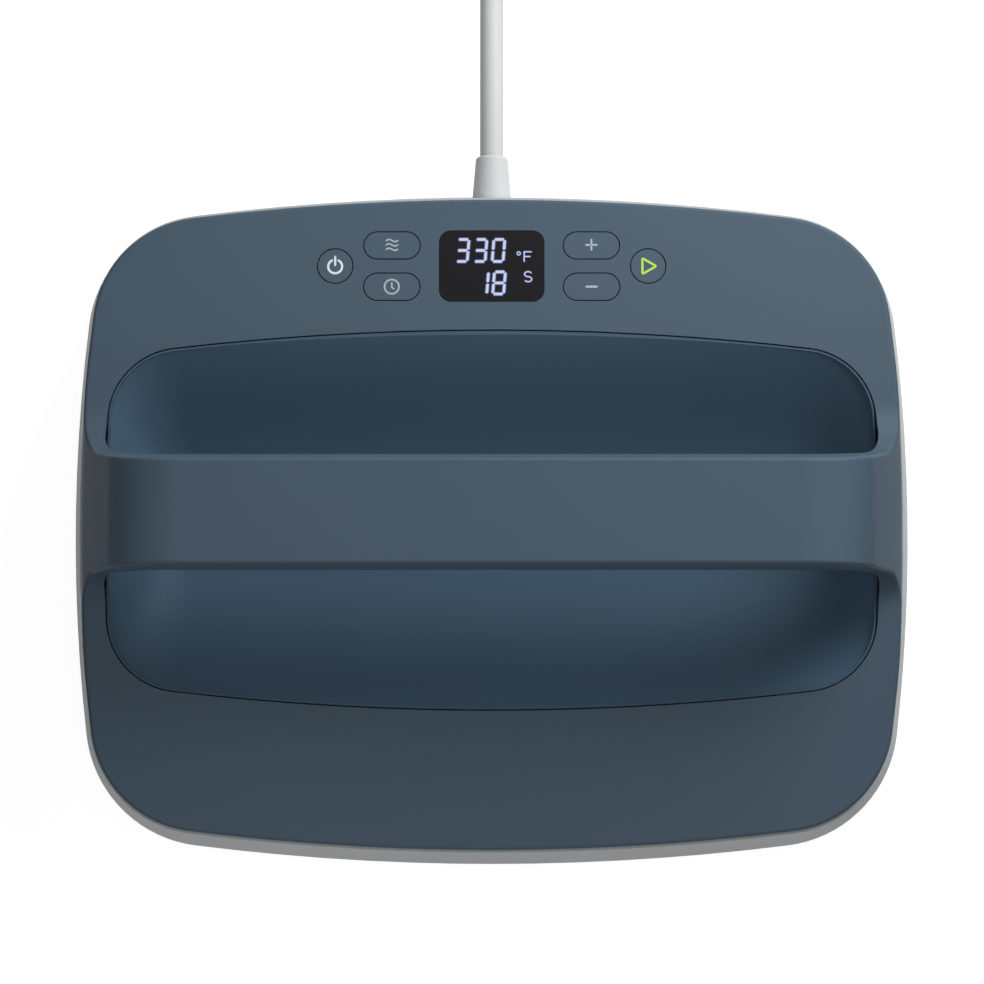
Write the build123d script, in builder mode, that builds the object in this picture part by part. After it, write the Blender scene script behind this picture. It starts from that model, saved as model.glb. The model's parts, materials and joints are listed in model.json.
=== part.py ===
"""Handheld heat press: a bridge-handled press that stands on its heated plate."""

import os
from math import cos, hypot, pi, radians, sin, sqrt, tan

from build123d import *

# Driving dimensions, in millimetres and degrees

# Plan of the upper cover: bowed sides, bowed front and rear edges, round corners
cover_width = 323.0
cover_depth = 256.8
side_bow_radius = 700.0
end_bow_radius = 950.0
cover_corner_radius = 44.0
cover_wall = 2.6

# Levels above the working face
plate_thickness = 11.0
spacer_height = 7.5
shield_thickness = 1.2
foot_gap = 3.0
waist_height = 12.0
parting_height = 40.0
rim_thickness = 2.0
handle_height = 105.0

# Bridge handle and the scooped recess that runs under it
deck_pitch = 5.0
deck_depth = 53.5
side_rim_width = 10.2
grip_shift = 1.0
handle_top_width = 39.2
handle_shift = -0.4
rear_face_lean = 9.0
front_face_lean = 1.5
handle_thickness = 27.0
rear_sweep_radius = 24.0
front_sweep_radius = 14.0
leg_start_height = 46.0
handle_end_inset = 25.0
shoulder_radius = 32.0
edge_radius = 1.4
leg_blend_radius = 25.0
leg_blend_share = 0.32
leg_rise_share = 0.43
crease_angle = 15.0
crest_angle = 25.0
panel_clearance = 0.25
pad_diameter = 11.0
pad_height = 2.4
handle_screw_inset = 61.5
handle_inner_screw = 35.0
recess_side_bow_radius = 1000.0
recess_end_bow_radius = 1060.0
recess_corner_radius = 29.0
arch_spring_rise = 1.3
panel_thickness = 2.4

# Tray that lines the recess
tray_wall = 2.4
tray_gap = 0.5
tray_lip_width = 0.8
tray_flush = 0.4
tray_floor_gap = 0.8
tray_run_x = 26.0
scoop_power = 1.6
scoop_share = 0.6
tray_floor_depth = 30.2
tray_floor_corner = 8.0
tray_floor_bow_radius = 4000.0
tray_rim_rise = 2.0
tray_flange_reach = 8.0
tray_screw_reach = 4.2
tray_flange_thickness = 2.0
tray_boss_height = 3.6
tray_screw_inset = 46.3
bowl_steps = 8

# Lower housing
skirt_flare = 6.8
skirt_step = 1.0
housing_wall = 2.6
parting_gap = 0.5
foot_radius = 8.0
tongue_height = 4.0
tongue_thickness = 1.4
tongue_gap = 0.3

# Heated plate, its element and what hangs it from the shield
plate_inset = 8.5
plate_corner_radius = 78.0
plate_edge_radius = 1.5
seal_gap = 3.0
seal_clearance = 0.3
seal_height = 5.0
shield_clearance = 0.9
element_diameter = 7.0
element_clearance = 0.3
element_bury = 0.1
element_bend = 14.0
element_side_inset = 35.0
element_end_inset = 28.0
element_inner_half_span = 58.0
element_inner_rear = 40.0
riser_bend = 10.0
riser_stand = 3.3
terminal_half_pitch = 16.0
terminal_diameter = 4.0
terminal_length = 6.0
spacer_diameter = 10.0
plate_thread_depth = 6.0
blanket_inset = 6.0
blanket_clearance = 0.5
blanket_gap = 1.0
cutout_y = -10.0
cutout_diameter = 15.0
cutout_height = 6.4
cutout_bevel = 1.5
sensor_half_pitch = 30.0
sensor_y = -34.0
sensor_base_length = 14.0
sensor_base_width = 9.0
sensor_base_thickness = 1.5
sensor_barrel_diameter = 4.6

# Keys and display on the rear deck
panel_offset = -0.3
round_key_diameter = 14.4
oblong_key_length = 22.7
oblong_key_width = 11.5
key_gap = 3.8
key_row_gap = 5.2
window_key_gap = 7.2
key_clearance = 0.45
key_travel = 0.8
key_flange_reach = 1.1
key_flange_thickness = 1.0
key_flange_gap = 0.2
stem_diameter = 3.0
stem_length = 0.9
window_width = 41.6
window_height = 28.9
window_corner = 4.8
window_clearance = 0.15
window_flange_reach = 2.0
window_flange_thickness = 1.0

# Boards
board_thickness = 1.6
board_edge = 5.0
control_boss_outset = 1.45
control_boss_rise = 2.7
switch_side = 6.0
switch_height = 3.0
plunger_diameter = 3.2
plunger_clearance = 0.3
plunger_engagement = 1.0
power_board_width = 94.0
power_board_depth = 34.0
standoff_height = 5.0
standoff_diameter = 6.0
bay_clearance = 2.0
component_corner = 0.8

# Components in the front bay: how far along it they sit, and their sizes
relay_x = -27.0
relay_size = (18.0, 15.0, 11.5)
transformer_x = -4.0
transformer_size = (20.0, 22.0, 11.0)
capacitor_x = 17.0
capacitor_size = (14.0, 10.0, 9.0)
beeper_x = 32.0
beeper_diameter = 11.0
beeper_height = 7.0

# Components in the rear bay
terminal_block_x = 35.0
terminal_block_setback = 3.0
terminal_block_length = 22.0
terminal_block_width = 14.0
mains_fuse_x = -36.0
mains_fuse_size = (24.0, 9.0, 8.0)
sink_x = 76.0
sink_length = 40.0
sink_width = 22.0
sink_base = 3.0
fin_count = 6
fin_thickness = 1.4
fin_pitch = 4.0
device_length = 10.0
device_width = 15.0
device_height = 4.4
ribbon_inset = 16.3
ribbon_boss_gap = 7.0
ribbon_rear_inset = 9.0
ribbon_end_inset = 1.0
ribbon_width = 8.0
ribbon_thickness = 0.9
wire_diameter = 2.2
wire_pitch = 2.8
wire_bend = 3.0
wire_gap = 0.2

# Fasteners
screw_diameter = 3.0
screw_head_diameter = 5.6
screw_head_height = 2.0
thread_gap = 0.1
hole_gap = 0.3
head_gap = 0.4
boss_diameter = 7.0
corner_boss_diameter = 9.0
corner_screw_inset_x = 27.5
corner_screw_inset_y = 26.0
corner_head_depth = 6.0
corner_thread = 12.0
ledge_screw_x = 60.0
ledge_screw_y = 45.0
ledge_thread = 8.0

# Lead, strain relief and plug
cord_diameter = 9.4
boot_root_diameter = 15.4
boot_tip_diameter = 12.6
boot_length = 16.2
boot_shoulder = 1.4
boot_flange_diameter = 19.0
boot_flange_thickness = 2.0
boot_clearance = 0.25
clamp_width = 26.0
clamp_length = 5.0
clamp_cap = 2.0
clamp_screw_x = 9.5
clamp_gap = 0.2
cord_tail = 1.5
coil_outer_radius = 66.75
coil_pitch = 12.2
coil_layer_rise = 10.5
coil_lift = 1.3
coil_centre_y = 306.0
coil_half_turns_in = 5
coil_half_turns_out = 4
tie_width = 10.0
tie_thickness = 0.8
tie_clearance = 0.4
tie_corner = 3.0
plug_lead = 56.0
plug_body_length = 38.0
plug_body_width = 27.0
plug_foot = 0.3
plug_neck_length = 14.0
plug_neck_diameter = 13.0
plug_corner = 8.0
blade_pitch = 12.7
blade_width = 6.35
blade_thickness = 1.5
blade_length = 16.0
blade_rise = 4.0
ground_pin_diameter = 4.75
ground_pin_length = 19.0
ground_pin_drop = 7.9

# Levels and places that follow from the sizes above
pitch_slope = tan(radians(deck_pitch))
rear_face_slope = tan(radians(rear_face_lean))
front_face_slope = tan(radians(front_face_lean))
leg_slope = handle_end_inset / (handle_height - leg_start_height)
rim_height = parting_height + rim_thickness
leg_crease_half = cover_depth / 2 - (leg_start_height - rim_height) / pitch_slope
leg_rise = handle_height - leg_start_height
leg_blend = min(leg_blend_radius, leg_blend_share * leg_crease_half, leg_rise_share * leg_rise)
shield_seat = plate_thickness + spacer_height
shield_top = shield_seat + shield_thickness
handle_underside_height = handle_height - handle_thickness
lip_height = rim_height + deck_depth * pitch_slope
arch_corner_radius = handle_underside_height - lip_height - arch_spring_rise
tray_bottom = shield_top + tray_floor_gap
tray_depth = lip_height - tray_bottom - tray_wall
housing_top = parting_height - parting_gap
recess_width = cover_width - 2 * side_rim_width
recess_depth = cover_depth - 2 * deck_depth
tray_screw_pitch = recess_width / 2 - tray_screw_inset
handle_screw_x = cover_width / 2 - handle_screw_inset
plate_width = cover_width - 2 * plate_inset
plate_depth = cover_depth - 2 * plate_inset
element_half_span = plate_width / 2 - element_side_inset
element_rear = plate_depth / 2 - element_end_inset
riser_height = shield_top + riser_stand
spacer_pitch_x = (element_half_span + element_inner_half_span) / 2
spacer_row = (element_rear + element_inner_rear) / 2
corner_screw_x = cover_width / 2 - corner_screw_inset_x
corner_screw_y = cover_depth / 2 - corner_screw_inset_y
panel_row = cover_depth / 2 - deck_depth / 2 + panel_offset
oblong_key_offset = window_width / 2 + window_key_gap + oblong_key_length / 2
round_key_offset = oblong_key_offset + oblong_key_length / 2 + key_gap + round_key_diameter / 2
oblong_key_row = (oblong_key_width + key_row_gap) / 2
key_flange_drop = cover_wall + key_flange_gap
plunger_top_drop = key_flange_drop + key_flange_thickness + stem_length
switch_drop = plunger_top_drop + key_travel + thread_gap
plunger_bottom_drop = switch_drop + plunger_engagement
board_drop = switch_drop + switch_height
board_bottom_drop = board_drop + board_thickness
control_boss_half_pitch = round_key_offset + round_key_diameter / 2 + control_boss_outset
control_boss_row = oblong_key_row + control_boss_rise
control_board_width = 2 * (control_boss_half_pitch + board_edge)
control_board_depth = 2 * (control_boss_row + board_edge - head_gap - head_gap)
cord_radius = cord_diameter / 2
cord_axis_height = shield_seat + boot_flange_diameter / 2 + boot_clearance
thread_bore = screw_diameter / 2 + thread_gap
screw_bore = screw_diameter / 2 + hole_gap
head_bore = screw_head_diameter / 2 + head_gap


def deck_level(y):
    """Height of the deck surface at a distance y from the middle."""
    return rim_height + (cover_depth / 2 - abs(y)) * pitch_slope


rear_deck = Plane(
    origin=(0, panel_row, deck_level(panel_row)),
    x_dir=(1, 0, 0),
    z_dir=(0, sin(radians(deck_pitch)), cos(radians(deck_pitch))),
)


def bowed_outline(width, depth, side_radius, end_radius, corner_radius):
    """Face inside eight tangent arcs: bowed sides, bowed ends and round corners."""
    side_centre = width / 2 - side_radius
    end_centre = depth / 2 - end_radius
    side_reach = side_radius - corner_radius
    end_reach = end_radius - corner_radius
    span = hypot(side_centre, end_centre)
    along = (side_reach**2 - end_reach**2 + span**2) / (2 * span)
    across = sqrt(side_reach**2 - along**2)
    unit_x = -side_centre / span
    unit_y = end_centre / span
    corner_x = side_centre + along * unit_x - across * unit_y
    corner_y = along * unit_y + across * unit_x
    side_x = side_centre + (corner_x - side_centre) * side_radius / side_reach
    side_y = corner_y * side_radius / side_reach
    end_x = corner_x * end_radius / end_reach
    end_y = end_centre + (corner_y - end_centre) * end_radius / end_reach
    bisector_x = side_x + end_x - 2 * corner_x
    bisector_y = side_y + end_y - 2 * corner_y
    stretch = corner_radius / hypot(bisector_x, bisector_y)
    middle_x = corner_x + bisector_x * stretch
    middle_y = corner_y + bisector_y * stretch
    with BuildSketch() as plan:
        with BuildLine():
            ThreePointArc((side_x, -side_y), (width / 2, 0), (side_x, side_y))
            ThreePointArc((side_x, side_y), (middle_x, middle_y), (end_x, end_y))
            ThreePointArc((end_x, end_y), (0, depth / 2), (-end_x, end_y))
            ThreePointArc((-end_x, end_y), (-middle_x, middle_y), (-side_x, side_y))
            ThreePointArc((-side_x, side_y), (-width / 2, 0), (-side_x, -side_y))
            ThreePointArc((-side_x, -side_y), (-middle_x, -middle_y), (-end_x, -end_y))
            ThreePointArc((-end_x, -end_y), (0, -depth / 2), (end_x, -end_y))
            ThreePointArc((end_x, -end_y), (middle_x, -middle_y), (side_x, -side_y))
        make_face()
    return plan.sketch


def cover_plan(grow):
    """Plan of the cover, grown outwards by a distance."""
    return bowed_outline(
        cover_width + 2 * grow,
        cover_depth + 2 * grow,
        side_bow_radius + grow,
        end_bow_radius + grow,
        cover_corner_radius + grow,
    )


def recess_plan(grow):
    """Plan of the grip recess about its own middle, grown outwards by a distance."""
    return bowed_outline(
        recess_width + 2 * grow,
        recess_depth + 2 * grow,
        recess_side_bow_radius + grow,
        recess_end_bow_radius + grow,
        recess_corner_radius + grow,
    )


def plate_plan(grow):
    """Plan of the heated plate, grown outwards by a distance."""
    return bowed_outline(
        plate_width + 2 * grow,
        plate_depth + 2 * grow,
        side_bow_radius + grow,
        end_bow_radius + grow,
        plate_corner_radius + grow,
    )


def foot_of_handle(shift, face_slope):
    """Where a handle face, leaning outwards as it goes down, meets the deck."""
    half_top = handle_top_width / 2 + shift
    rise = handle_height - rim_height - cover_depth / 2 * pitch_slope
    y = (half_top + rise * face_slope) / (1 - pitch_slope * face_slope)
    return y, deck_level(y)


def side_profile(inset):
    """Side view of the cover: two decks that sweep up into the handle's faces."""
    reach = cover_depth
    over = handle_height + handle_thickness
    rear_y, rear_z = foot_of_handle(handle_shift, rear_face_slope)
    front_y, front_z = foot_of_handle(-handle_shift, front_face_slope)
    rear_top = rear_y - (over - rear_z) * rear_face_slope
    front_top = front_y - (over - front_z) * front_face_slope
    with BuildSketch() as profile:
        with BuildLine():
            FilletPolyline(
                (-reach, -reach),
                (-reach, deck_level(reach)),
                (-front_y, front_z),
                (-front_top, over),
                (rear_top, over),
                (rear_y, rear_z),
                (reach, deck_level(reach)),
                (reach, -reach),
                radius=[0, 0, front_sweep_radius, 0, 0, rear_sweep_radius, 0, 0],
                close=True,
            )
        make_face()
        if inset > 0:
            offset(amount=-inset, kind=Kind.INTERSECTION, mode=Mode.REPLACE)
    return profile.sketch


def front_profile(inset):
    """Front view of the cover: leaning legs rounded over into the handle's flat top."""
    half = cover_width / 2 + skirt_flare
    start = leg_start_height - skirt_flare / leg_slope
    top_half = half - (handle_height - start) * leg_slope
    with BuildSketch() as profile:
        with BuildLine():
            FilletPolyline(
                (-half, -cover_depth),
                (-half, start),
                (-top_half, handle_height),
                (top_half, handle_height),
                (half, start),
                (half, -cover_depth),
                radius=[0, 0, shoulder_radius, shoulder_radius, 0, 0],
                close=True,
            )
        make_face()
        if inset > 0:
            offset(amount=-inset, kind=Kind.INTERSECTION, mode=Mode.REPLACE)
    return profile.sketch


def arch_profile(grow):
    """Front view of the finger gap under the handle, grown outwards by a distance."""
    half = recess_width / 2 + grow
    top = handle_underside_height + grow
    corner = arch_corner_radius + grow
    with BuildSketch() as profile:
        with BuildLine():
            FilletPolyline(
                (-half, 0),
                (-half, top),
                (half, top),
                (half, 0),
                radius=[0, corner, corner, 0],
                close=True,
            )
        make_face()
    return profile.sketch


def cover_envelope(inset, floor):
    """Solid inside the cover's outer skin, drawn in by an inset, above a floor level."""
    with BuildPart() as envelope:
        with BuildSketch(Plane.YZ):
            add(side_profile(inset))
        extrude(amount=cover_width, both=True)
        with BuildSketch(Plane.XY.offset(floor)):
            add(cover_plan(-inset))
        extrude(amount=2 * handle_height, mode=Mode.INTERSECT)
        with BuildSketch(Plane.XZ):
            add(front_profile(inset))
        extrude(amount=cover_depth, both=True, mode=Mode.INTERSECT)
    return envelope.part


def finger_space(grow):
    """Space of the recess and the gap under the handle, grown by a distance."""
    with BuildPart() as space:
        with BuildSketch(Plane.XY):
            with Locations((0, grip_shift)):
                add(recess_plan(grow))
        extrude(amount=2 * handle_height)
        with BuildSketch(Plane.XZ):
            add(arch_profile(grow))
        extrude(amount=cover_depth, both=True, mode=Mode.INTERSECT)
    return space.part


def sharp_edges(part, least_angle):
    """Edges where two faces meet at more than an angle."""
    chosen = []
    faces = part.faces()
    for edge in part.edges():
        middle = edge @ 0.5
        sides = [face for face in faces if any(other.is_same(edge) for other in face.edges())]
        normals = [side.normal_at(middle) for side in sides]
        if len(normals) == 2 and normals[0].get_angle(normals[1]) > least_angle:
            chosen.append(edge)
    return ShapeList(chosen)


def save(builder, name):
    """Label a finished piece and write it."""
    builder.part.label = name
    export_step(builder.part, f"parts/{name}.step")


os.makedirs("parts", exist_ok=True)

# Cover envelopes shared by the pieces that fit inside it
outer_envelope = cover_envelope(0, parting_height)
inner_envelope = cover_envelope(cover_wall, 0)
grip_space = finger_space(0)


def tray_boss_y(x, side):
    """Row of the tray's screws, which follows the bowed edge of the recess."""
    sag = recess_end_bow_radius - sqrt(recess_end_bow_radius**2 - x**2)
    return grip_shift + side * (recess_depth / 2 - sag + tray_screw_reach)


tray_screw_places = [
    (x, tray_boss_y(x, side)) for x in (-tray_screw_pitch, tray_screw_pitch) for side in (-1, 1)
]
corner_screw_places = [
    (x, y) for x in (-corner_screw_x, corner_screw_x) for y in (-corner_screw_y, corner_screw_y)
]
control_screw_places = [
    (x, y)
    for x in (-control_boss_half_pitch, control_boss_half_pitch)
    for y in (-control_boss_row, control_boss_row)
]
handle_screw_places = [
    (x, grip_shift) for x in (-handle_screw_x, -handle_inner_screw, handle_inner_screw, handle_screw_x)
]
tray_flange_top = lip_height - cover_wall - tray_boss_height

# Keys: name, place on the rear deck, round or oblong
keys = {
    "power": (-round_key_offset, 0, True),
    "temperature": (-oblong_key_offset, oblong_key_row, False),
    "timer": (-oblong_key_offset, -oblong_key_row, False),
    "plus": (oblong_key_offset, oblong_key_row, False),
    "minus": (oblong_key_offset, -oblong_key_row, False),
    "start": (round_key_offset, 0, True),
}


def key_outline(is_round, grow):
    """Outline of a key, grown outwards by a distance."""
    with BuildSketch() as outline:
        if is_round:
            Circle(round_key_diameter / 2 + grow)
        else:
            SlotOverall(oblong_key_length + 2 * grow, oblong_key_width + 2 * grow)
    return outline.sketch


def window_outline(grow):
    """Outline of the display window, grown outwards by a distance."""
    with BuildSketch() as outline:
        RectangleRounded(window_width + 2 * grow, window_height + 2 * grow, window_corner + grow)
    return outline.sketch


# Top cover: decks and handle in one skin, open below
with BuildPart() as top_cover:
    add(outer_envelope)
    above_parting = sharp_edges(top_cover.part, crease_angle).filter_by(
        lambda e: parting_height + edge_radius < e.center().Z < handle_underside_height
    )
    creases = above_parting.filter_by(lambda e: abs(e.center().Y) < handle_top_width / 2)
    fillet(creases, radius=leg_blend)
    crest = sharp_edges(top_cover.part, crest_angle).filter_by(
        lambda e: e.center().Z > parting_height + parting_gap
    )
    fillet(crest, radius=edge_radius)
    add(inner_envelope, mode=Mode.SUBTRACT)
    add(grip_space, mode=Mode.SUBTRACT)
    with BuildSketch(Plane.XY.offset(housing_top - tongue_height)):
        add(cover_plan(skirt_step - housing_wall - tongue_gap))
        add(cover_plan(skirt_step - housing_wall - tongue_gap - tongue_thickness), mode=Mode.SUBTRACT)
        with Locations((0, cover_depth / 2)):
            Rectangle(
                boot_flange_diameter + 4 * boot_clearance,
                4 * (housing_wall + tongue_gap + tongue_thickness),
                mode=Mode.SUBTRACT,
            )
    extrude(amount=tongue_height + (parting_height - housing_top) + tongue_thickness)
    for x, y in tray_screw_places:
        with BuildSketch(Plane.XY.offset(tray_flange_top)):
            with Locations((x, y)):
                Circle(boss_diameter / 2)
        extrude(amount=deck_level(y) - cover_wall / 2 - tray_flange_top)
    for x, y in corner_screw_places:
        with BuildSketch(Plane.XY.offset(shield_seat + head_gap)):
            with Locations((x, y)):
                Circle(corner_boss_diameter / 2)
        extrude(amount=deck_level(y) - cover_wall / 2 - shield_seat - head_gap)
    with BuildSketch(rear_deck.offset(-board_drop)):
        with Locations(*control_screw_places):
            Circle(boss_diameter / 2)
    extrude(amount=board_drop - cover_wall / 2)
    with BuildSketch(Plane.XY.offset(handle_underside_height + panel_thickness + pad_height)):
        with Locations(*handle_screw_places):
            Circle(boss_diameter / 2)
    extrude(amount=handle_thickness - panel_thickness - pad_height - cover_wall / 2)
    for x, y in tray_screw_places:
        with BuildSketch(Plane.XY.offset(tray_flange_top)):
            with Locations((x, y)):
                Circle(thread_bore)
        extrude(amount=tray_boss_height, mode=Mode.SUBTRACT)
    with BuildSketch(Plane.XY.offset(shield_seat)):
        with Locations(*corner_screw_places):
            Circle(thread_bore)
    extrude(amount=corner_thread + head_gap, mode=Mode.SUBTRACT)
    with BuildSketch(rear_deck.offset(-board_drop)):
        with Locations(*control_screw_places):
            Circle(thread_bore)
    extrude(amount=board_drop - cover_wall - thread_gap, mode=Mode.SUBTRACT)
    with BuildSketch(Plane.XY.offset(handle_underside_height)):
        with Locations(*handle_screw_places):
            Circle(thread_bore)
    extrude(amount=handle_thickness - 2 * cover_wall, mode=Mode.SUBTRACT)
    with BuildSketch(rear_deck.offset(cover_wall)):
        add(window_outline(0))
        for x, y, is_round in keys.values():
            with Locations((x, y)):
                add(key_outline(is_round, 0))
    extrude(amount=-3 * cover_wall, mode=Mode.SUBTRACT)
save(top_cover, "top_cover")

# Strip that closes the handle and its legs from below
with BuildPart() as handle_underside:
    with BuildSketch(Plane.XZ):
        add(arch_profile(panel_thickness))
        add(arch_profile(0), mode=Mode.SUBTRACT)
    extrude(amount=cover_depth, both=True)
    add(
        cover_envelope(cover_wall + panel_clearance, lip_height + tray_rim_rise + panel_clearance),
        mode=Mode.INTERSECT,
    )
    with BuildSketch(Plane.XY.offset(handle_underside_height + panel_thickness)):
        with Locations(*handle_screw_places):
            Circle(pad_diameter / 2)
    extrude(amount=pad_height)
    with BuildSketch(Plane.XY.offset(handle_underside_height)):
        with Locations(*handle_screw_places):
            Circle(head_bore)
    extrude(amount=panel_thickness, mode=Mode.SUBTRACT)
    with BuildSketch(Plane.XY.offset(handle_underside_height)):
        with Locations(*handle_screw_places):
            Circle(screw_bore)
    extrude(amount=panel_thickness + pad_height, mode=Mode.SUBTRACT)
save(handle_underside, "handle_underside")


def scoop_rise(along):
    """Share of the tray's depth that its slope has climbed, from its floor at 0 to its lip at 1."""
    return scoop_share * along**scoop_power + (1 - scoop_share) * along**2 * (3 - 2 * along)


def scoop(rim, drop):
    """Space over the tray: a shallow dish inside a rim, open upwards and lowered by a drop."""
    half_x = recess_width / 2 - tray_gap - rim
    half_y = recess_depth / 2 - tray_gap - rim
    run_y = half_y - tray_floor_depth / 2
    end_bow = recess_end_bow_radius
    corner = recess_corner_radius - tray_gap - rim
    with BuildPart() as space:
        with BuildSketch(Plane.XY.offset(lip_height + tray_rim_rise)):
            with Locations((0, grip_shift)):
                add(recess_plan(-tray_gap - rim))
        for step in range(bowl_steps + 1):
            drawn_in = step / bowl_steps
            level = lip_height - drop - tray_depth * (1 - scoop_rise(1 - drawn_in))
            with BuildSketch(Plane.XY.offset(level)):
                with Locations((0, grip_shift)):
                    add(
                        bowed_outline(
                            2 * (half_x - tray_run_x * drawn_in),
                            2 * (half_y - run_y * drawn_in),
                            recess_side_bow_radius,
                            end_bow + (tray_floor_bow_radius - end_bow) * drawn_in,
                            corner + (tray_floor_corner - corner) * drawn_in,
                        )
                    )
        loft(ruled=True)
    return space.part


# Tray that lines both recesses and runs on under the handle
with BuildPart() as grip_tray:
    with BuildSketch(Plane.XY.offset(tray_flange_top - tray_flange_thickness)):
        with Locations((0, grip_shift)):
            add(recess_plan(tray_flange_reach))
            Rectangle(2 * (tray_screw_pitch + boss_diameter), cover_depth, mode=Mode.INTERSECT)
            Rectangle(cover_width, recess_depth - 2 * recess_corner_radius, mode=Mode.SUBTRACT)
    extrude(amount=tray_flange_thickness)
    with BuildSketch(Plane.XY.offset(tray_flange_top - tray_flange_thickness)):
        with Locations((0, grip_shift)):
            add(recess_plan(-tray_gap))
            add(recess_plan(-tray_gap - tray_wall), mode=Mode.SUBTRACT)
    extrude(amount=lip_height + tray_rim_rise - tray_flange_top + tray_flange_thickness)
    add(scoop(tray_wall / 2, tray_wall))
    add(scoop(tray_lip_width, 0), mode=Mode.SUBTRACT)
    with BuildSketch(Plane.YZ):
        add(side_profile(tray_flush))
    extrude(amount=cover_width, both=True, mode=Mode.INTERSECT)
    with BuildSketch(Plane.XY.offset(tray_flange_top)):
        with Locations(*tray_screw_places):
            Circle(screw_bore)
    extrude(amount=-tray_flange_thickness, mode=Mode.SUBTRACT)
save(grip_tray, "grip_tray")


def flare_at(height):
    """How far the housing stands out past the cover's plan at a height above its waist."""
    share = (height - waist_height) / (housing_top - waist_height)
    return skirt_flare + (skirt_step - skirt_flare) * share


def ledge_sag(radius, along):
    """How far a bowed edge falls back at a distance from its middle."""
    return radius - sqrt(radius**2 - along**2)


shield_grow = plate_inset + flare_at(shield_seat) - housing_wall - shield_clearance
ledge_grow = (seal_gap + shield_grow) / 2
ledge_side = plate_width / 2 + ledge_grow - ledge_sag(side_bow_radius, ledge_screw_y)
ledge_end = plate_depth / 2 + ledge_grow - ledge_sag(end_bow_radius, ledge_screw_x)
ledge_screw_places = [(x, y) for x in (-ledge_side, ledge_side) for y in (-ledge_screw_y, ledge_screw_y)]
ledge_screw_places += [(x, y) for x in (-ledge_screw_x, ledge_screw_x) for y in (-ledge_end, ledge_end)]
boot_bore = boot_root_diameter / 2 + boot_clearance

# Lower housing: flared skirt with a thick foot ring that carries the shield
with BuildPart() as lower_housing:
    with BuildSketch(Plane.XY.offset(foot_gap)):
        add(cover_plan(skirt_flare))
    extrude(amount=waist_height - foot_gap)
    fillet(lower_housing.faces().sort_by(Axis.Z)[0].edges(), radius=foot_radius)
    with BuildSketch(Plane.XY.offset(waist_height)):
        add(cover_plan(skirt_flare))
    with BuildSketch(Plane.XY.offset(housing_top)):
        add(cover_plan(skirt_step))
    loft(ruled=True)
    with BuildSketch(Plane.XY.offset(shield_seat)):
        add(cover_plan(flare_at(shield_seat) - housing_wall))
    with BuildSketch(Plane.XY.offset(housing_top)):
        add(cover_plan(skirt_step - housing_wall))
    loft(ruled=True, mode=Mode.SUBTRACT)
    with BuildSketch(Plane.XY):
        add(plate_plan(seal_gap))
    extrude(amount=parting_height, mode=Mode.SUBTRACT)
    with BuildSketch(Plane.XY.offset(foot_gap)):
        with Locations(*corner_screw_places):
            Circle(head_bore)
    extrude(amount=corner_head_depth, mode=Mode.SUBTRACT)
    with BuildSketch(Plane.XY.offset(foot_gap)):
        with Locations(*corner_screw_places):
            Circle(screw_bore)
    extrude(amount=shield_top, mode=Mode.SUBTRACT)
    with BuildSketch(Plane.XY.offset(shield_seat)):
        with Locations(*ledge_screw_places):
            Circle(thread_bore)
    extrude(amount=-ledge_thread, mode=Mode.SUBTRACT)
    with BuildSketch(Plane.XZ.offset(-cover_depth)):
        with Locations((0, cord_axis_height)):
            Circle(boot_bore)
    extrude(amount=cover_depth, mode=Mode.SUBTRACT)
save(lower_housing, "lower_housing")

element_level = plate_thickness - element_bury - element_diameter / 2
element_turns = [
    (-terminal_half_pitch, element_rear),
    (-element_half_span, element_rear),
    (-element_half_span, -element_rear),
    (-element_inner_half_span, -element_rear),
    (-element_inner_half_span, element_inner_rear),
    (element_inner_half_span, element_inner_rear),
    (element_inner_half_span, -element_rear),
    (element_half_span, -element_rear),
    (element_half_span, element_rear),
    (terminal_half_pitch, element_rear),
]
spacer_places = [(x, y) for x in (-spacer_pitch_x, 0, spacer_pitch_x) for y in (-spacer_row, spacer_row)]
terminal_places = [(x, element_rear) for x in (-terminal_half_pitch, terminal_half_pitch)]

# Heated plate, with the channel that the element lies in
with BuildPart() as heat_plate:
    with BuildSketch():
        add(plate_plan(0))
    extrude(amount=plate_thickness)
    fillet(heat_plate.faces().sort_by(Axis.Z)[0].edges(), radius=plate_edge_radius)
    with BuildLine() as channel_path:
        FilletPolyline(*[(x, y, element_level) for x, y in element_turns], radius=element_bend)
    channel_half = element_diameter / 2 + element_clearance
    with BuildSketch(Plane(origin=channel_path.line @ 0, x_dir=(0, -1, 0), z_dir=channel_path.line % 0)):
        Circle(channel_half)
        with Locations((0, channel_half)):
            Rectangle(2 * channel_half, 2 * channel_half)
    sweep(path=channel_path.line, mode=Mode.SUBTRACT)
    with BuildSketch(Plane.XY.offset(element_level - channel_half)):
        with Locations(*terminal_places):
            Circle(channel_half)
    extrude(amount=plate_thickness, mode=Mode.SUBTRACT)
    with BuildSketch(Plane.XY.offset(plate_thickness)):
        with Locations(*spacer_places):
            Circle(thread_bore)
    extrude(amount=-plate_thread_depth - thread_gap, mode=Mode.SUBTRACT)
save(heat_plate, "heat_plate")

# Tubular heating element, whose ends rise through the shield
with BuildPart() as heating_element:
    with BuildLine() as element_path:
        FilletPolyline(
            (*element_turns[0], riser_height),
            *[(x, y, element_level) for x, y in element_turns],
            (*element_turns[-1], riser_height),
            radius=[riser_bend] + [element_bend] * (len(element_turns) - 2) + [riser_bend],
        )
    with BuildSketch(Plane(origin=element_path.line @ 0, z_dir=element_path.line % 0)):
        Circle(element_diameter / 2)
    sweep(path=element_path.line)
save(heating_element, "heating_element")

with BuildPart() as element_terminals:
    with BuildSketch(Plane.XY.offset(riser_height)):
        with Locations(*terminal_places):
            Circle(terminal_diameter / 2)
    extrude(amount=terminal_length)
save(element_terminals, "element_terminals")

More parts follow.
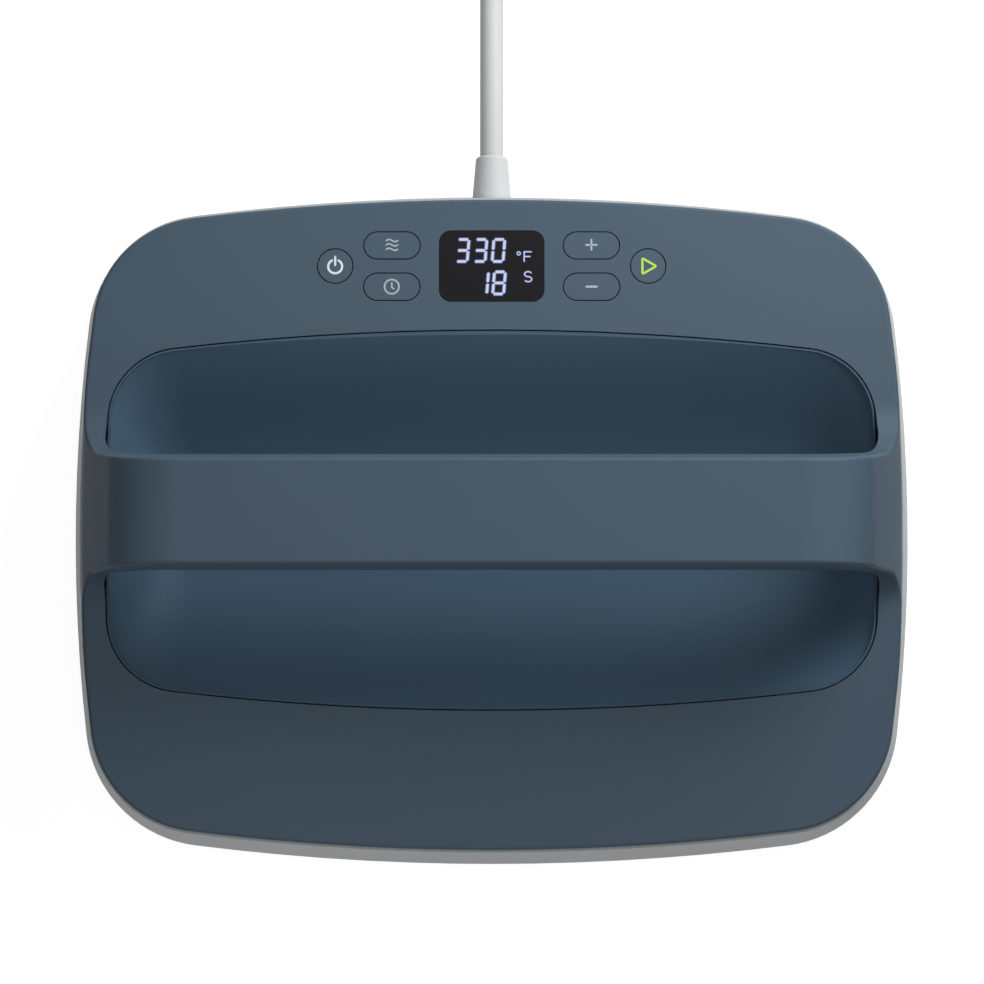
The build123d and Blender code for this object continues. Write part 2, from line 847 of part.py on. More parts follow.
with BuildPart() as plate_spacers:
    with BuildSketch(Plane.XY.offset(plate_thickness)):
        with Locations(*spacer_places):
            Circle(spacer_diameter / 2)
            Circle(screw_bore, mode=Mode.SUBTRACT)
    extrude(amount=spacer_height)
save(plate_spacers, "plate_spacers")


def screws(places, seat, length, up):
    """Pan head screws whose heads bear on a plane, threads pointing up or down from it."""
    way = 1 if up else -1
    with BuildPart() as group:
        with BuildSketch(seat):
            with Locations(*places):
                Circle(screw_head_diameter / 2)
        extrude(amount=-way * screw_head_height)
        with BuildSketch(seat):
            with Locations(*places):
                Circle(screw_diameter / 2)
        extrude(amount=way * length)
    return group


plate_screws = screws(
    spacer_places, Plane.XY.offset(shield_top), shield_thickness + spacer_height + plate_thread_depth, False
)
save(plate_screws, "plate_screws")

shield_screws = screws(
    ledge_screw_places, Plane.XY.offset(shield_top), shield_thickness + ledge_thread - thread_gap, False
)
save(shield_screws, "shield_screws")

housing_screws = screws(
    corner_screw_places,
    Plane.XY.offset(foot_gap + corner_head_depth),
    shield_seat + corner_thread - foot_gap - corner_head_depth,
    True,
)
save(housing_screws, "housing_screws")

tray_screws = screws(
    tray_screw_places,
    Plane.XY.offset(tray_flange_top - tray_flange_thickness),
    tray_flange_thickness + tray_boss_height - thread_gap,
    True,
)
save(tray_screws, "tray_screws")

handle_screws = screws(
    handle_screw_places,
    Plane.XY.offset(handle_underside_height + panel_thickness),
    handle_thickness - panel_thickness - 2 * cover_wall - thread_gap,
    True,
)
save(handle_screws, "handle_screws")

control_board_screws = screws(
    control_screw_places,
    rear_deck.offset(-board_bottom_drop),
    board_bottom_drop - cover_wall - 3 * thread_gap,
    True,
)
save(control_board_screws, "control_board_screws")

# Seal in the gap between the plate and the foot ring
with BuildPart() as plate_seal:
    with BuildSketch(Plane.XY.offset(foot_gap + plate_edge_radius)):
        add(plate_plan(seal_gap - seal_clearance))
        add(plate_plan(seal_clearance), mode=Mode.SUBTRACT)
    extrude(amount=seal_height)
save(plate_seal, "plate_seal")

# Sensors that sit on the back of the plate
cutout_place = (0, cutout_y)
fuse_place = (sensor_half_pitch, sensor_y)
sensor_place = (-sensor_half_pitch, sensor_y)

with BuildPart() as thermal_cutout:
    with BuildSketch(Plane.XY.offset(plate_thickness)):
        with Locations(cutout_place):
            Circle(cutout_diameter / 2)
    extrude(amount=cutout_height)
    chamfer(thermal_cutout.faces().sort_by(Axis.Z)[-1].edges(), length=cutout_bevel)
save(thermal_cutout, "thermal_cutout")


def barrel_sensor(place):
    """Barrel lying on a mounting foot."""
    x, y = place
    with BuildPart() as sensor:
        with BuildSketch(Plane.XY.offset(plate_thickness)):
            with Locations(place):
                Rectangle(sensor_base_length, sensor_base_width)
        extrude(amount=sensor_base_thickness)
        level = plate_thickness + sensor_base_thickness + sensor_barrel_diameter / 2 - thread_gap
        with BuildSketch(Plane(origin=(x - sensor_base_length / 2, y, level), z_dir=(1, 0, 0))):
            Circle(sensor_barrel_diameter / 2)
        extrude(amount=sensor_base_length)
    return sensor


thermal_fuse = barrel_sensor(fuse_place)
save(thermal_fuse, "thermal_fuse")
temperature_sensor = barrel_sensor(sensor_place)
save(temperature_sensor, "temperature_sensor")

# Insulation over the plate, cut round everything that rises through it
riser_slot = 2 * (riser_bend + element_diameter)

with BuildPart() as insulation_blanket:
    with BuildSketch(Plane.XY.offset(plate_thickness)):
        add(plate_plan(-blanket_inset))
        with Locations(*spacer_places):
            Circle(spacer_diameter / 2 + blanket_clearance, mode=Mode.SUBTRACT)
        with Locations((0, element_rear)):
            SlotOverall(
                2 * terminal_half_pitch + riser_slot,
                element_diameter + 4 * blanket_clearance,
                mode=Mode.SUBTRACT,
            )
        with Locations(cutout_place):
            Circle(cutout_diameter / 2 + blanket_clearance, mode=Mode.SUBTRACT)
        with Locations(fuse_place, sensor_place):
            Rectangle(
                sensor_base_length + 2 * blanket_clearance,
                sensor_base_width + 2 * blanket_clearance,
                mode=Mode.SUBTRACT,
            )
    extrude(amount=spacer_height - blanket_gap)
save(insulation_blanket, "insulation_blanket")

# Cord clamp places, shared by the shield and the clamp
boot_flange_face = cover_depth / 2 + skirt_step - housing_wall - clamp_gap
clamp_rear = boot_flange_face - boot_flange_thickness - clamp_gap
clamp_centre_y = clamp_rear - clamp_length / 2
clamp_top = cord_axis_height + cord_diameter / 2 + clamp_cap
clamp_screw_places = [(x, clamp_centre_y) for x in (-clamp_screw_x, clamp_screw_x)]
cord_inner_end = clamp_rear - clamp_length - cord_tail

# Sheet shield on the ledge, with the plate hanging from it
shield_notch = corner_boss_diameter / 2 + 2 * hole_gap

with BuildPart() as heat_shield:
    with BuildSketch(Plane.XY.offset(shield_seat)):
        add(plate_plan(shield_grow))
        with Locations(*corner_screw_places):
            Circle(shield_notch, mode=Mode.SUBTRACT)
        with Locations(*spacer_places, *ledge_screw_places, *clamp_screw_places):
            Circle(screw_bore, mode=Mode.SUBTRACT)
        with Locations(*terminal_places):
            Circle(element_diameter / 2 + 2 * hole_gap, mode=Mode.SUBTRACT)
        with Locations((0, boot_flange_face)):
            Rectangle(
                boot_flange_diameter + 2 * hole_gap,
                2 * boot_flange_thickness + clamp_gap,
                mode=Mode.SUBTRACT,
            )
        with Locations((0, boot_flange_face + shield_grow)):
            Rectangle(boot_flange_diameter + 2 * hole_gap, 2 * shield_grow, mode=Mode.SUBTRACT)
    extrude(amount=shield_thickness)
save(heat_shield, "heat_shield")

# Display
with BuildPart() as display_window:
    with BuildSketch(rear_deck):
        add(window_outline(-window_clearance))
    extrude(amount=-cover_wall)
    with BuildSketch(rear_deck.offset(-cover_wall)):
        add(window_outline(window_flange_reach))
    extrude(amount=-window_flange_thickness)
save(display_window, "display_window")

module_drop = cover_wall + window_flange_thickness + window_clearance

with BuildPart() as display_module:
    with BuildSketch(rear_deck.offset(-module_drop)):
        Rectangle(window_width, window_height - 2 * window_flange_reach)
    extrude(amount=module_drop - board_drop)
save(display_module, "display_module")

# Control board under the keys
with BuildPart() as control_board:
    with BuildSketch(rear_deck.offset(-board_drop)):
        Rectangle(control_board_width, control_board_depth)
        with Locations(*control_screw_places):
            Circle(screw_bore, mode=Mode.SUBTRACT)
    extrude(amount=-board_thickness)
save(control_board, "control_board")

with BuildPart() as key_switches:
    with BuildSketch(rear_deck.offset(-board_drop)):
        with Locations(*[(x, y) for x, y, _ in keys.values()]):
            Rectangle(switch_side, switch_side)
    extrude(amount=switch_height)
    with BuildSketch(rear_deck.offset(-switch_drop)):
        with Locations(*[(x, y) for x, y, _ in keys.values()]):
            Circle(plunger_diameter / 2 + plunger_clearance)
    extrude(amount=-(plunger_engagement + key_travel + plunger_clearance), mode=Mode.SUBTRACT)
save(key_switches, "key_switches")

for key_name, (x, y, is_round) in keys.items():
    with BuildPart() as key:
        with BuildSketch(rear_deck):
            with Locations((x, y)):
                add(key_outline(is_round, -key_clearance))
        extrude(amount=-key_flange_drop)
        with BuildSketch(rear_deck.offset(-key_flange_drop)):
            with Locations((x, y)):
                add(key_outline(is_round, key_flange_reach))
        extrude(amount=-key_flange_thickness)
        with BuildSketch(rear_deck.offset(-key_flange_drop)):
            with Locations((x, y)):
                Circle(stem_diameter / 2)
        extrude(amount=key_flange_drop - plunger_top_drop)
    save(key, f"{key_name}_button")
    with BuildPart() as plunger:
        with BuildSketch(rear_deck.offset(-plunger_top_drop)):
            with Locations((x, y)):
                Circle(plunger_diameter / 2)
        extrude(amount=plunger_top_drop - plunger_bottom_drop)
    save(plunger, f"{key_name}_switch_plunger")

# Power board on pillars above the shield
board_seat = shield_top + standoff_height
power_top = board_seat + board_thickness
control_board_underside = (
    deck_level(panel_row + control_board_depth / 2) - board_bottom_drop / cos(radians(deck_pitch))
)
bay_top = control_board_underside - bay_clearance
power_screw_reach_x = power_board_width / 2 - board_edge
power_screw_reach_y = power_board_depth / 2 - board_edge
power_screw_places = [
    (x, y - panel_row)
    for x in (-power_screw_reach_x, power_screw_reach_x)
    for y in (-power_screw_reach_y, power_screw_reach_y)
]

with BuildPart() as board_standoffs:
    with BuildSketch(Plane.XY.offset(shield_top)):
        with Locations(*power_screw_places):
            Circle(standoff_diameter / 2)
            Circle(thread_bore, mode=Mode.SUBTRACT)
    extrude(amount=standoff_height)
save(board_standoffs, "board_standoffs")

with BuildPart() as power_board:
    with BuildSketch(Plane.XY.offset(board_seat)):
        with Locations((0, -panel_row)):
            Rectangle(power_board_width, power_board_depth)
        with Locations(*power_screw_places):
            Circle(screw_bore, mode=Mode.SUBTRACT)
    extrude(amount=board_thickness)
save(power_board, "power_board")

power_board_screws = screws(
    power_screw_places, Plane.XY.offset(power_top), board_thickness + standoff_height - thread_gap, False
)
save(power_board_screws, "power_board_screws")


def block(centre, size, level):
    """Plain component body standing on a level."""
    with BuildPart() as body:
        with BuildSketch(Plane.XY.offset(level)):
            with Locations(centre):
                Rectangle(size[0], size[1])
        extrude(amount=size[2])
        fillet(body.edges().filter_by(Axis.Z), radius=component_corner)
    return body


relay = block((relay_x, -panel_row), relay_size, power_top)
save(relay, "relay")

transformer = block((transformer_x, -panel_row), transformer_size, power_top)
save(transformer, "transformer")

filter_capacitor = block((capacitor_x, -panel_row), capacitor_size, power_top)
save(filter_capacitor, "filter_capacitor")

terminal_place = (terminal_block_x, panel_row + terminal_block_setback)
terminal_block = block(
    terminal_place, (terminal_block_length, terminal_block_width, bay_top - shield_top), shield_top
)
save(terminal_block, "terminal_block")

mains_fuse = block((mains_fuse_x, element_rear), mains_fuse_size, shield_top)
save(mains_fuse, "mains_fuse")

with BuildPart() as beeper:
    with BuildSketch(Plane.XY.offset(power_top)):
        with Locations((beeper_x, -panel_row)):
            Circle(beeper_diameter / 2)
    extrude(amount=beeper_height)
save(beeper, "beeper")

# Heat sink with its power device lying on the base
fin_start_x = sink_x - sink_length / 2 + fin_thickness
device_x = sink_x + sink_length / 2 - device_length

with BuildPart() as heat_sink:
    with BuildSketch(Plane.XY.offset(shield_top)):
        with Locations((sink_x, panel_row)):
            Rectangle(sink_length, sink_width)
    extrude(amount=sink_base)
    with BuildSketch(Plane.XY.offset(shield_top + sink_base)):
        with Locations(*[(fin_start_x + i * fin_pitch, panel_row) for i in range(fin_count)]):
            Rectangle(fin_thickness, sink_width)
    extrude(amount=bay_top - shield_top - sink_base)
save(heat_sink, "heat_sink")

power_switch_device = block(
    (device_x, panel_row), (device_length, device_width, device_height), shield_top + sink_base
)
save(power_switch_device, "power_switch_device")

# Clamp that holds the lead behind its boot
with BuildPart() as cord_clamp:
    with BuildSketch(Plane.XY.offset(shield_top)):
        with Locations((0, clamp_centre_y)):
            Rectangle(clamp_width, clamp_length)
        with Locations(*clamp_screw_places):
            Circle(screw_bore, mode=Mode.SUBTRACT)
    extrude(amount=clamp_top - shield_top)
    with BuildSketch(Plane.XZ.offset(-clamp_rear)):
        with Locations((0, cord_axis_height)):
            Circle(cord_diameter / 2 + clamp_gap)
    extrude(amount=clamp_length, mode=Mode.SUBTRACT)
save(cord_clamp, "cord_clamp")

clamp_screws = screws(
    clamp_screw_places, Plane.XY.offset(clamp_top), clamp_top - shield_seat - thread_gap, False
)
save(clamp_screws, "clamp_screws")

# Boot that protects the lead where it leaves the housing
boot_root_y = cover_depth / 2 + flare_at(cord_axis_height)
boot_tip_y = boot_root_y + boot_length

with BuildPart() as cord_strain_relief:
    with BuildSketch(Plane.YZ):
        with BuildLine():
            Polyline(
                (boot_flange_face - boot_flange_thickness, cord_axis_height + cord_diameter / 2 + thread_gap),
                (boot_flange_face - boot_flange_thickness, cord_axis_height + boot_flange_diameter / 2),
                (boot_flange_face, cord_axis_height + boot_flange_diameter / 2),
                (boot_flange_face, cord_axis_height + boot_root_diameter / 2),
                (boot_root_y, cord_axis_height + boot_root_diameter / 2),
                (boot_tip_y, cord_axis_height + boot_tip_diameter / 2),
                (boot_tip_y, cord_axis_height + cord_diameter / 2 + thread_gap),
                close=True,
            )
        make_face()
    revolve(axis=Axis((0, 0, cord_axis_height), (0, 1, 0)))
    tip_rims = cord_strain_relief.faces().sort_by(Axis.Y)[-1].edges()
    fillet(tip_rims.sort_by(SortBy.RADIUS)[-1], radius=boot_shoulder)
save(cord_strain_relief, "cord_strain_relief")

# Lead: straight out of the boot, down to the table, then a coil of two layers
coil_level = coil_lift + cord_radius
coil_start_y = coil_centre_y - cord_diameter
cord_route = [
    (0.0, cord_inner_end, cord_axis_height),
    (0.0, 168.0, cord_axis_height),
    (0.0, 219.0, 14.6),
    (0.0, 262.0, coil_level),
    (0.0, coil_start_y, coil_level),
]
cord_radii = []
for before, here, after in zip(cord_route, cord_route[1:], cord_route[2:]):
    run_in = Vector(*here) - Vector(*before)
    run_out = Vector(*after) - Vector(*here)
    half_turn = radians(run_in.get_angle(run_out) / 2)
    cord_radii.append(0.45 * min(run_in.length, run_out.length) / tan(half_turn))
print("lead bend radii", [round(radius) for radius in cord_radii])

with BuildPart() as power_cord:
    with BuildLine() as cord_path:
        FilletPolyline(*cord_route, radius=cord_radii)
    with BuildSketch(Plane(origin=cord_path.line @ 0, z_dir=cord_path.line % 0)):
        Circle(cord_radius)
    sweep(path=cord_path.line)
save(power_cord, "power_cord")
cord_length = cord_path.wire().length
print("lead volume over section times length", power_cord.part.volume / (pi * cord_radius**2 * cord_length))

# Coil: half turns that step in by half a pitch, climb in a tilted half turn, and step out again
coil_centre_x = coil_outer_radius
upper_level = coil_level + coil_layer_rise
coil_places = [-coil_outer_radius]
for half_turn in range(coil_half_turns_in):
    coil_places.append(-coil_places[-1] - (-1 if coil_places[-1] > 0 else 1) * coil_pitch / 2)
coil_ends = [(x, coil_level) for x in coil_places]
coil_ends.append((-coil_places[-1], upper_level))
for half_turn in range(coil_half_turns_out):
    last = coil_ends[-1][0]
    coil_ends.append((-last + (-1 if last > 0 else 1) * coil_pitch / 2, upper_level))
coil_arcs = []
for number, ((x0, z0), (x1, z1)) in enumerate(zip(coil_ends, coil_ends[1:])):
    side = 1 if number % 2 == 0 else -1
    reach = hypot(x1 - x0, z1 - z0) / 2
    start = Vector(coil_centre_x + x0, coil_centre_y, z0)
    finish = Vector(coil_centre_x + x1, coil_centre_y, z1)
    coil_arcs.append((start, (start + finish) / 2 + Vector(0, side * reach, 0), finish))
coil_end = coil_arcs[-1][2]
plug_back = coil_end + Vector(0, plug_lead, 0)

with BuildPart() as cord_coil:
    with BuildLine() as coil_path:
        Line((0, coil_start_y, coil_level), coil_arcs[0][0])
        for start, middle, finish in coil_arcs:
            ThreePointArc(start, middle, finish)
        Line(coil_end, plug_back)
    with BuildSketch(Plane(origin=(0, coil_start_y, coil_level), z_dir=(0, 1, 0))):
        Circle(cord_radius)
    sweep(path=coil_path.line)
save(cord_coil, "cord_coil")

# Least gap between turns, measured on points of the coil's line
coil_wire = coil_path.wire()
coil_length = coil_wire.length
coil_steps = 700
coil_points = [coil_wire.position_at(i / coil_steps) for i in range(coil_steps + 1)]
nearby = int(pi * coil_outer_radius / 2 / coil_length * coil_steps)
coil_gap = min(
    (coil_points[i] - coil_points[j]).length - cord_diameter
    for i in range(coil_steps + 1)
    for j in range(i + nearby, coil_steps + 1)
)
print("least gap between turns", round(coil_gap, 2))
print("lead length", round(cord_length + coil_length))

# Tie round the turns on the far side of the coil
right_ends = [x for x, _ in coil_ends if x > 0]
tie_inner = sqrt((min(right_ends) - cord_radius) ** 2 - (tie_width / 2) ** 2) - tie_clearance
tie_outer = max(right_ends) + cord_radius + tie_clearance
tie_bottom = coil_lift - tie_clearance
tie_top = upper_level + cord_radius + tie_clearance

with BuildPart() as coil_tie:
    with BuildSketch(Plane.XZ.offset(-coil_centre_y - tie_width / 2)):
        with Locations((coil_centre_x + (tie_inner + tie_outer) / 2, (tie_bottom + tie_top) / 2)):
            RectangleRounded(
                tie_outer - tie_inner + 2 * tie_thickness, tie_top - tie_bottom + 2 * tie_thickness, tie_corner
            )
            RectangleRounded(
                tie_outer - tie_inner, tie_top - tie_bottom, tie_corner - tie_thickness, mode=Mode.SUBTRACT
            )
    extrude(amount=tie_width)
save(coil_tie, "coil_tie")

# Plug with two flat blades and a round pin
plug_face = plug_back + Vector(0, plug_body_length, 0)
plug_shoulder = plug_back + Vector(0, plug_neck_length, 0)
plug_body_height = 2 * (upper_level - plug_foot)

with BuildPart() as plug_body:
    with BuildSketch(Plane(origin=plug_back, x_dir=(1, 0, 0), z_dir=(0, 1, 0))):
        Circle(plug_neck_diameter / 2)
    with BuildSketch(Plane(origin=plug_shoulder, x_dir=(1, 0, 0), z_dir=(0, 1, 0))):
        RectangleRounded(plug_body_width, plug_body_height, plug_corner)
    loft()
    extrude(plug_body.faces().sort_by(Axis.Y)[-1], amount=plug_body_length - plug_neck_length)
save(plug_body, "plug_body")

with BuildPart() as plug_blades:
    with BuildSketch(Plane(origin=plug_face, x_dir=(1, 0, 0), z_dir=(0, 1, 0))):
        with Locations((-blade_pitch / 2, -blade_rise), (blade_pitch / 2, -blade_rise)):
            Rectangle(blade_thickness, blade_width)
    extrude(amount=blade_length)
save(plug_blades, "plug_blades")

with BuildPart() as plug_ground_pin:
    with BuildSketch(Plane(origin=plug_face, x_dir=(1, 0, 0), z_dir=(0, 1, 0))):
        with Locations((0, ground_pin_drop)):
            Circle(ground_pin_diameter / 2)
    extrude(amount=ground_pin_length)
    fillet(plug_ground_pin.faces().sort_by(Axis.Y)[-1].edges(), radius=ground_pin_diameter / 3)
save(plug_ground_pin, "plug_ground_pin")

# Leads inside
wire_stop_x = terminal_block_x - terminal_block_length / 2 - wire_gap

with BuildPart() as mains_leads:
    for number in (-1, 0, 1):
        wire_x = number * wire_pitch
        wire_y = terminal_place[1] + number * wire_pitch
        with BuildLine() as wire_path:
            FilletPolyline(
                (wire_x, cord_inner_end - wire_gap, cord_axis_height),
                (wire_x, wire_y, cord_axis_height),
                (wire_stop_x, wire_y, cord_axis_height),
                radius=wire_bend,
            )
        with BuildSketch(Plane(origin=wire_path.line @ 0, z_dir=wire_path.line % 0)):
            Circle(wire_diameter / 2)
        sweep(path=wire_path.line)
save(mains_leads, "mains_leads")

heater_lead_level = power_top + wire_diameter / 2 + wire_gap / 2
lead_start = terminal_half_pitch + terminal_diameter / 2 + wire_gap
fuse_near_end = mains_fuse_x + mains_fuse_size[0] / 2

with BuildPart() as heater_leads:
    with BuildSketch(Plane(origin=(-lead_start, element_rear, heater_lead_level), z_dir=(-1, 0, 0))):
        Circle(wire_diameter / 2)
    extrude(amount=-lead_start - fuse_near_end - wire_gap)
    with BuildSketch(Plane(origin=(lead_start, element_rear, heater_lead_level), z_dir=(1, 0, 0))):
        Circle(wire_diameter / 2)
    extrude(amount=sink_x - sink_length / 2 - lead_start - wire_gap)
save(heater_leads, "heater_leads")

# Flat cable along the shield from the control board to the power board
ribbon_x = -(recess_width / 2 - ribbon_inset)
ribbon_turn = ribbon_x - ribbon_width / 2
ribbon_half_run = corner_screw_y - corner_boss_diameter / 2 - ribbon_boss_gap
ribbon_rear_x = ribbon_rear_inset - control_board_width / 2
ribbon_front_x = ribbon_end_inset - power_board_width / 2
ribbon_top = control_board_underside + control_board_depth * pitch_slope / 2 - wire_gap

with BuildPart() as ribbon_cable:
    with BuildSketch(Plane.XY.offset(shield_top)):
        with Locations((ribbon_x, 0)):
            Rectangle(ribbon_width, 2 * ribbon_half_run + ribbon_width)
        with Locations(((ribbon_turn + ribbon_rear_x) / 2, ribbon_half_run)):
            Rectangle(ribbon_rear_x - ribbon_turn, ribbon_width)
        with Locations(((ribbon_turn + ribbon_front_x) / 2, -ribbon_half_run)):
            Rectangle(ribbon_front_x - ribbon_turn, ribbon_width)
    extrude(amount=ribbon_thickness)
    with BuildSketch(Plane.XY.offset(shield_top)):
        with Locations((ribbon_rear_x, ribbon_half_run)):
            Rectangle(ribbon_thickness, ribbon_width)
    extrude(amount=ribbon_top - shield_top)
    with BuildSketch(Plane.XY.offset(shield_top)):
        with Locations((ribbon_front_x, -ribbon_half_run)):
            Rectangle(ribbon_thickness, ribbon_width)
    extrude(amount=standoff_height)
save(ribbon_cable, "ribbon_cable")
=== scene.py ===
import json
import math

import bmesh
import bpy
from mathutils import Matrix, Vector


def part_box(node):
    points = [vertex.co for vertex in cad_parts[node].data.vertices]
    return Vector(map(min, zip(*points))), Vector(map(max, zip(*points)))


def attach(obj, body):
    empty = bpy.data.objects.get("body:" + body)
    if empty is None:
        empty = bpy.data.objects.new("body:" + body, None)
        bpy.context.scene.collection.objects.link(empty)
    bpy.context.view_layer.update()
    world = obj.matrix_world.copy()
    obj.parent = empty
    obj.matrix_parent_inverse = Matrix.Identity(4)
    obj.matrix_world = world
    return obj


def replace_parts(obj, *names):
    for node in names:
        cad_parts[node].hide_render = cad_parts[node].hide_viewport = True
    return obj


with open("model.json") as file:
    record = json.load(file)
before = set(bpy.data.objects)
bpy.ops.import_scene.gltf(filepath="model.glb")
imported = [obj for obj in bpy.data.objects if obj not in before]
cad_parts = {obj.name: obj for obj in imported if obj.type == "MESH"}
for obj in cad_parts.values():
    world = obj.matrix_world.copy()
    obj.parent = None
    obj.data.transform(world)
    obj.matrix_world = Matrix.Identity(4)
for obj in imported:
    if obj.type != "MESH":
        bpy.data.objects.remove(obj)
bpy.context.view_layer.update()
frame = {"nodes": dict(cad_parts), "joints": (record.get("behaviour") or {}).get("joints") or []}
nodes = frame["nodes"]
scene = bpy.context.scene
mm = 0.001
weld = 0.002 * mm  # corners of a copied node that lie nearer than this are merged
print("frame loaded,", len(nodes), "nodes")

# Camera above the front edge, leaning a little towards the rear
cameraLook = {
    "eye": (0.0, -0.0826, 1.092),
    "lean": 2.6,  # degrees
    "side": 984,  # width and height of the picture in pixels
    "focal": 2676.0,  # pixels
    "axisColumn": 491.7,  # where the lens axis meets the picture
    "axisRow": 611.6,
    "sensor": 36.0,
}


def addCamera(look):
    lens = bpy.data.cameras.new("pressCamera")
    lens.sensor_width = look["sensor"]
    lens.lens = look["focal"] / look["side"] * look["sensor"]
    lens.shift_x = (look["side"] / 2 - look["axisColumn"]) / look["side"]
    lens.shift_y = (look["axisRow"] - look["side"] / 2) / look["side"]
    camera = bpy.data.objects.new("pressCamera", lens)
    camera.location = look["eye"]
    camera.rotation_euler = (math.radians(look["lean"]), 0, 0)
    scene.collection.objects.link(camera)
    scene.camera = camera


addCamera(cameraLook)
print("camera set")


# Small helpers for meshes

def addMesh(name, bm):
    mesh = bpy.data.meshes.new(name)
    bm.to_mesh(mesh)
    bm.free()
    piece = bpy.data.objects.new(name, mesh)
    scene.collection.objects.link(piece)
    return piece


def dress(piece, material, body):
    piece.data.materials.clear()
    piece.data.materials.append(material)
    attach(piece, body)


# Flat strokes, for the print on the keys and the unit marks in the display
strokeLook = {
    "mitre": 0.35,  # keeps a sharp corner from running out to a spike
    "capSteps": 8,
    "arcSteps": 28,
}


def ribbon(bm, points, width, closed=False):
    # a flat stroke of even width along points, round at its open ends
    flat = [Vector(p) for p in points]
    count = len(flat)
    left, right = [], []
    for i, here in enumerate(flat):
        before = flat[i - 1] if closed or i > 0 else None
        after = flat[(i + 1) % count] if closed or i < count - 1 else None
        ways = [(b - a).normalized() for a, b in ((before, here), (here, after)) if a and b]
        way = sum(ways, Vector((0, 0))).normalized()
        across = Vector((-way.y, way.x))
        reach = width / 2 / max(strokeLook["mitre"], across.dot(Vector((-ways[0].y, ways[0].x))))
        left.append(bm.verts.new((*(here + across * reach), 0)))
        right.append(bm.verts.new((*(here - across * reach), 0)))
    for i in range(count if closed else count - 1):
        j = (i + 1) % count
        bm.faces.new((right[i], right[j], left[j], left[i]))
    if closed:
        return
    steps = strokeLook["capSteps"]
    for end, way, rim in ((flat[0], flat[0] - flat[1], (left[0], right[0])),
                          (flat[-1], flat[-1] - flat[-2], (right[-1], left[-1]))):
        start = math.atan2(way.y, way.x) + math.pi / 2
        turns = [start - math.pi * k / steps for k in range(1, steps)]
        cap = [end + width / 2 * Vector((math.cos(turn), math.sin(turn))) for turn in turns]
        loop = [bm.verts.new((*p, 0)) for p in cap]
        bm.faces.new((rim[0], *loop, rim[1])[::-1])


def arc(centre, radius, fromAngle, toAngle, steps=strokeLook["arcSteps"]):
    turns = [math.radians(fromAngle + (toAngle - fromAngle) * k / steps) for k in range(steps + 1)]
    rx, ry = radius if isinstance(radius, tuple) else (radius, radius)
    return [(centre[0] + rx * math.cos(turn), centre[1] + ry * math.sin(turn)) for turn in turns]


def addStrokes(bm, strokes):
    # each stroke is its points and width in mm, and whether it closes on itself
    for points, width, closed in strokes:
        ribbon(bm, [(x * mm, y * mm) for x, y in points], width * mm, closed)


def thicken(bm, height):
    # gives flat faces a thin body above them
    bmesh.ops.recalc_face_normals(bm, faces=bm.faces)
    for face in bm.faces:
        if face.normal.z < 0:
            face.normal_flip()
    made = bmesh.ops.extrude_face_region(bm, geom=bm.faces[:], use_keep_orig=True)
    raised = [v for v in made["geom"] if isinstance(v, bmesh.types.BMVert)]
    bmesh.ops.translate(bm, verts=raised, vec=(0, 0, height))
    bmesh.ops.recalc_face_normals(bm, faces=bm.faces)


deckNormal = -Vector(frame["joints"][0]["axis"]).normalized()
deckAcross = Vector((1, 0, 0))
deckUp = deckNormal.cross(deckAcross)


def deckPlace(node, lift=0.0):
    # the middle of a node's top face on the rear deck, with x along the deck and y up it
    low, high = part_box(node)
    middle = (Vector(low) + Vector(high)) / 2
    top = max(v.co.dot(deckNormal) for v in nodes[node].data.vertices)
    middle += deckNormal * (top + lift - middle.dot(deckNormal))
    turn = Matrix((deckAcross, deckUp, deckNormal)).transposed().to_4x4()
    return Matrix.Translation(middle) @ turn


# Helpers for node trees

def linear(r, g, b):
    # screen colour to the light that a shader works with
    wide = [c / 255 for c in (r, g, b)]
    return tuple(c / 12.92 if c < 0.04045 else ((c + 0.055) / 1.055) ** 2.4 for c in wide) + (1.0,)


def addNode(tree, kind, links=None, **settings):
    node = tree.nodes.new(kind)
    for key, value in settings.items():
        setattr(node, key, value)
    for socket, value in (links or {}).items():
        if isinstance(value, bpy.types.NodeSocket):
            tree.links.new(value, node.inputs[socket])
        else:
            node.inputs[socket].default_value = value
    return node


def reckon(tree, first, second, operation="MULTIPLY", third=None):
    links = {0: first, 1: second}
    if third is not None:
        links[2] = third
    return addNode(tree, "ShaderNodeMath", links, operation=operation).outputs[0]


def ranged(tree, value, low, high, span=(0.0, 1.0)):
    links = {"Value": value, "From Min": span[0], "From Max": span[1], "To Min": low, "To Max": high}
    return addNode(tree, "ShaderNodeMapRange", links).outputs[0]


def tinted(tree, colour, factor):
    # a colour made lighter or darker by a factor near 1
    return addNode(tree, "ShaderNodeVectorMath", {0: colour, "Scale": factor}, operation="SCALE").outputs[0]


def mixed(tree, share, first, second):
    return addNode(tree, "ShaderNodeMix", {"Factor": share, 6: first, 7: second}, data_type="RGBA").outputs[2]


def objectPlace(tree):
    return addNode(tree, "ShaderNodeTexCoord").outputs["Object"]


def noise(tree, place, scale, detail):
    return addNode(tree, "ShaderNodeTexNoise", {"Vector": place, "Scale": scale, "Detail": detail}).outputs[0]


def cells(tree, place, scale):
    return addNode(tree, "ShaderNodeTexVoronoi", {"Vector": place, "Scale": scale}).outputs


# Shared shader groups, whose scales count bumps or lines in a metre
colourIn, valueIn = "NodeSocketColor", "NodeSocketFloat"
skinOutputs = [("Colour", colourIn), ("Roughness", valueIn), ("Height", valueIn)]
cloudSpan = (0.3, 0.7)  # what a soft noise mostly stays between


